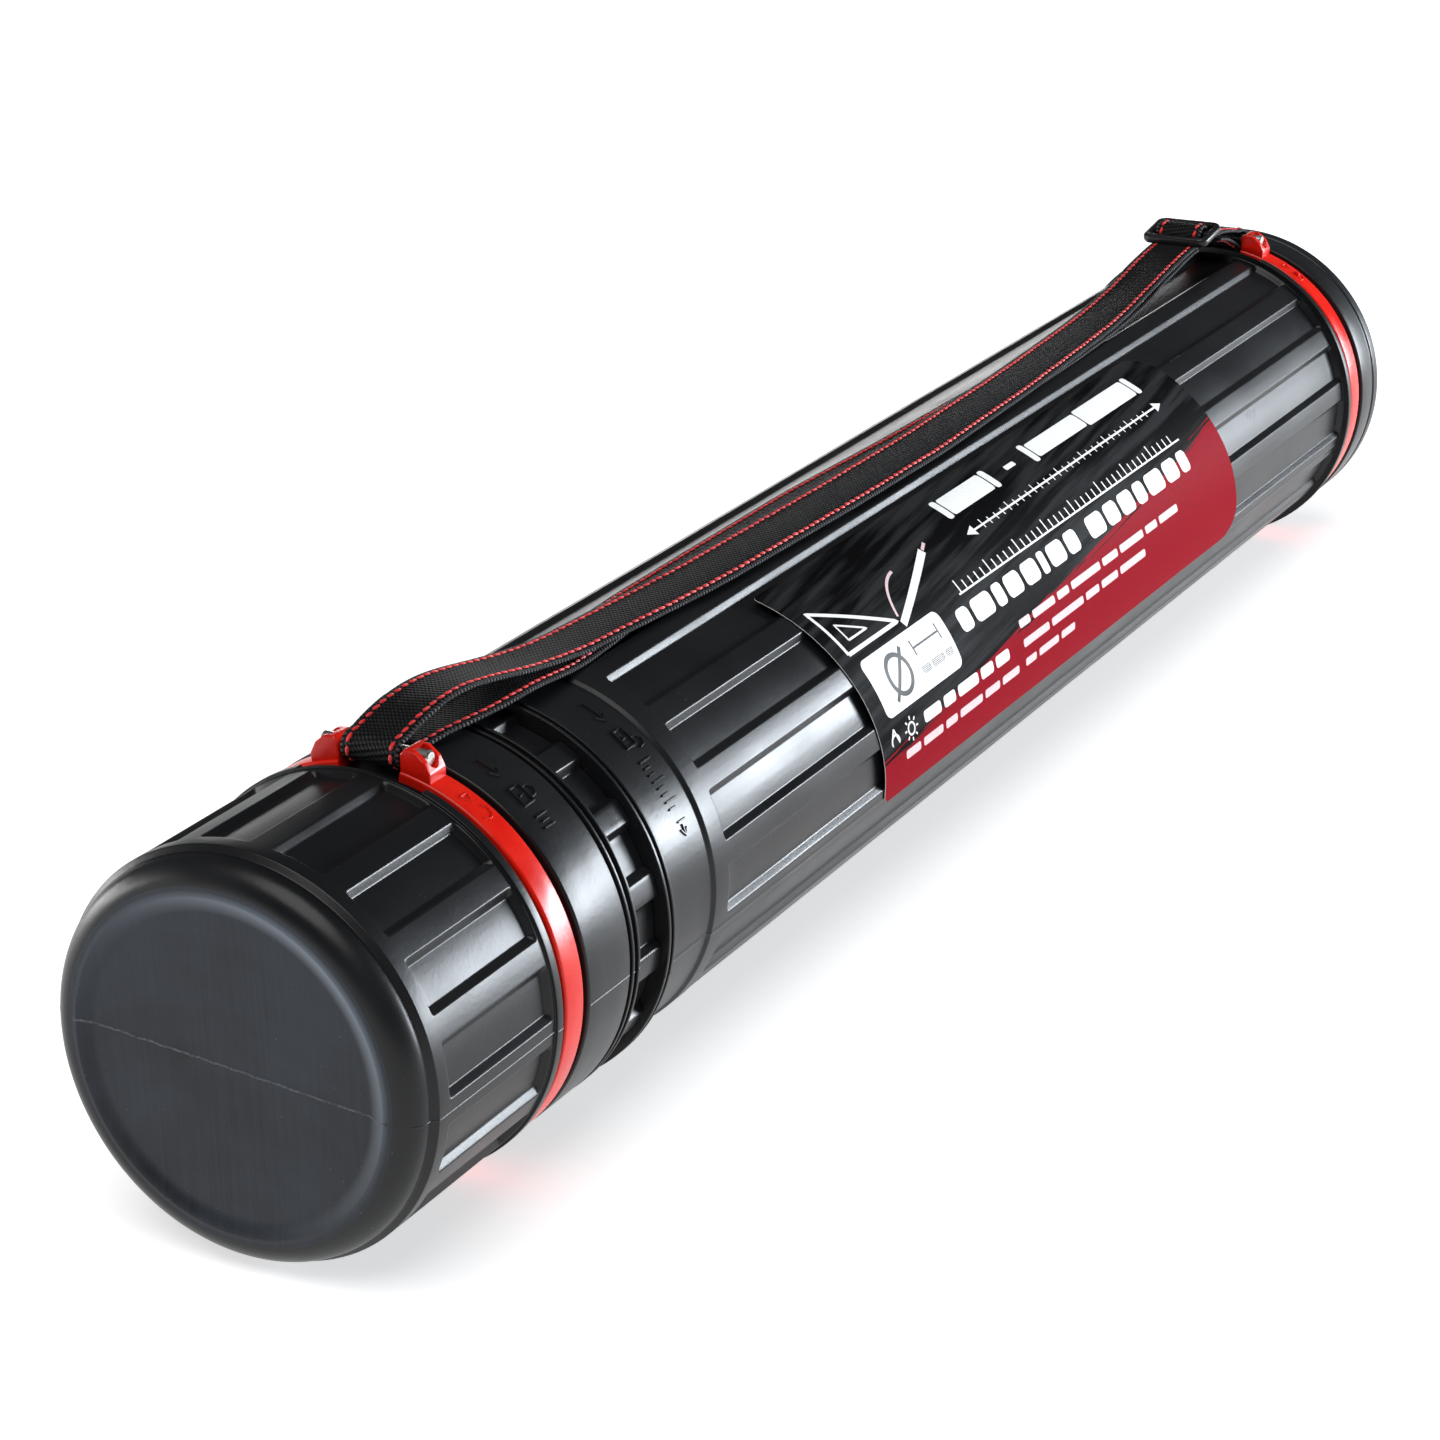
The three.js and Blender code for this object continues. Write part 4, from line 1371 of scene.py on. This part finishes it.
def cornerAlongs(length, sizes, step):
    left, right = max(sizes[0], sizes[3]), max(sizes[1], sizes[2])
    angles = np.radians(np.linspace(0, 90, 9))
    spots = {0.0, length}
    for size in (sizes[0], sizes[3]):
        spots |= {round(size * (1 - math.cos(a)), 4) for a in angles}
    for size in (sizes[1], sizes[2]):
        spots |= {round(length - size * (1 - math.cos(a)), 4) for a in angles}
    spots |= set(np.arange(left, length - right, step).round(4)) | {length - right}
    ordered = sorted(spots)
    kept = [ordered[0]]
    for spot in ordered[1:]:
        if spot - kept[-1] > 0.004:
            kept.append(spot)
    return kept


def inset(distance, size):
    return 0 if distance >= size else size - math.sqrt(max(0, size ** 2 - (size - distance) ** 2))


def roundedPatch(shape, along, down, length, height, sizes, top, bottom, paint=0, edgePaint=None):
    def upper(a):
        near, far = a - along, along + length - a
        cut = max(inset(near, sizes[0]), inset(far, sizes[1]))
        return down + min(cut, height / 2 - 0.01)

    def lower(a):
        near, far = a - along, along + length - a
        cut = max(inset(near, sizes[3]), inset(far, sizes[2]))
        return down + height - min(cut, height / 2 - 0.01)

    alongs = [along + a for a in cornerAlongs(length, sizes, 6.0)]
    addPatch(shape, alongs, upper, lower, top, bottom, paint, edgePaint)


def inkPatch(shape, along, down, length, height, size, paint=0):
    roundedPatch(shape, along, down, length, height, (size,) * 4, label["ink"], label["inkSunk"], paint)


def bar(shape, along, down, length, height, paint=0):
    inkPatch(shape, along, down, length, height, min(height, length) * 0.3, paint)


# a line of any direction on the film, of even width
def inkLine(shape, points, width, paint=0, lift=0.0):
    fine, side = finePath(points, 1.0)
    shares = np.linspace(-0.5, 0.5, max(2, math.ceil(width / 0.7) + 1))
    spots = fine[:, None] + side[:, None] * shares[None, :, None] * width
    levels = (lift + label["ink"], lift + label["inkSunk"])
    top, bottom = (onLabel(spots[..., 0], spots[..., 1], level) for level in levels)
    addSlab(shape, top, bottom, paint)


def arrowHead(shape, tip, length, half):
    alongs = np.linspace(tip[0], tip[0] + length, 8)

    def spread(a):
        return half * abs((a - tip[0]) / length) + 0.02

    alongs = alongs if length > 0 else alongs[::-1]
    addPatch(shape, alongs, lambda a: tip[1] - spread(a), lambda a: tip[1] + spread(a), label["ink"],
             label["inkSunk"])


def tubeDrawing(shape, along, down, height, parts):
    edge = along
    for share, length in parts:
        tall = height * share
        inkPatch(shape, edge, down + (height - tall) / 2, length, tall, 1.4)
        edge += length + 0.9


def wordBars(shape, along, down, height, lengths, gap, paint=0):
    edge = along
    for length in lengths:
        bar(shape, edge, down, length, height, paint)
        edge += length + gap


def makeLabel():
    shape = newShape()
    roundedPatch(shape, 0, 0, label["length"], labelHeight, label["corners"], 0, -label["thick"], 0, 1)
    sheet = finishShape(shape, "labelSheet", ["film", "white"])
    ink = newShape()
    black, pale = 1, 2
    # closed and drawn-out tube with a dimension line below
    tubeDrawing(ink, 118, 6.0, 9.5, ((1.0, 4), (0.9, 34), (1.0, 4)))
    bar(ink, 173, 9.8, 8, 2.0)
    tubeDrawing(ink, 192, 6.0, 9.5, ((1.0, 4), (0.78, 44), (0.92, 46), (1.0, 4)))
    inkLine(ink, [(119, 23.2), (292, 23.2)], 0.75)
    arrowHead(ink, (117, 23.2), 6, 2.2)
    arrowHead(ink, (294, 23.2), -6, 2.2)
    for i, spot in enumerate(np.arange(130, 284, 5.5)):
        inkLine(ink, [(spot, 20.8 if i % 4 == 0 else 21.8), (spot, 24.8)], 0.55)
    # the scale rule
    for i, spot in enumerate(np.arange(88, 284, 4.9)):
        inkLine(ink, [(spot, 33.4 if i % 5 == 0 else 35.0), (spot, 38.4)], 0.7)
    inkLine(ink, [(86, 38.8), (286, 38.8)], 0.7)
    wordBars(ink, 76, 42.6, 8.8, (9, 15, 7, 12, 12, 5, 13, 10), 2.6)
    wordBars(ink, 187, 42.6, 8.8, (14, 11, 12, 9, 15, 12, 8), 2.6)
    # set square, pencil and curve
    inkLine(ink, [(8, 34), (44, 34), (8, 15), (8, 34)], 1.5)
    inkLine(ink, [(14, 30), (27, 30), (14, 23.2), (14, 30)], 0.8)
    inkLine(ink, [(46, 36), (88, 19)], 3.0)
    inkLine(ink, [(88.6, 18.8), (93, 17)], 1.2, pale)
    inkLine(ink, arcLine((66, 40), 21, 200, 265, 20), 1.1, pale)
    # white panel with a diameter sign
    inkPatch(ink, 9, 38.0, 58, 22.6, 3.2)
    inkLine(ink, arcLine((27, 49.2), 7.2, 0, 360, 36), 1.9, black, label["ink"])
    inkLine(ink, [(19, 57.2), (35, 41.2)], 1.7, black, label["ink"])
    for line in ([(42, 44.6), (61, 44.6)], [(42, 41.6), (42, 47.6)], [(61, 41.6), (61, 47.6)]):
        inkLine(ink, line, 0.8, black, label["ink"])
    wordBars(ink, 41, 51.6, 3.0, (6, 9, 5), 1.6, black)
    # drop, sun and the small print
    inkLine(ink, [(10, 64.5), (7.4, 68.4), *arcLine((10, 69.4), 2.7, 160, 380, 14), (10, 64.5)], 0.8)
    sun = np.array((22, 68.6))
    inkLine(ink, arcLine(sun, 2.3, 0, 360, 20), 0.8)
    for angle in np.radians(np.arange(0, 360, 45)):
        ray = np.array((math.cos(angle), math.sin(angle)))
        inkLine(ink, [sun + 3.4 * ray, sun + 4.8 * ray], 0.7)
    wordBars(ink, 32, 66.0, 4.6, (13, 9, 16, 10, 11), 2.4)
    wordBars(ink, 16, 75.4, 3.4, (11, 15, 9, 18, 12, 14), 2.4, pale)
    wordBars(ink, 113, 59.6, 3.2, (9, 19, 10, 26, 14, 22, 11, 18), 2.6, pale)
    wordBars(ink, 113, 67.4, 3.2, (22, 28, 12, 15, 24), 2.6, pale)
    wordBars(ink, 113, 75.2, 3.2, (9, 17, 12), 2.6, pale)
    inkPiece = finishShape(ink, "labelInk", ["white", "black", "pink"], 60)
    for piece in (sheet, inkPiece):
        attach(piece, "outer")
    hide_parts("label_sheet")
    print("label made")


makeOuterTube()
makeInnerTube()
makeCap()
makeClip("near", "near_ring")
makeClip("far", "outer")
makeStrap()
makeSlider()
makeLabel()

print("all pieces made")
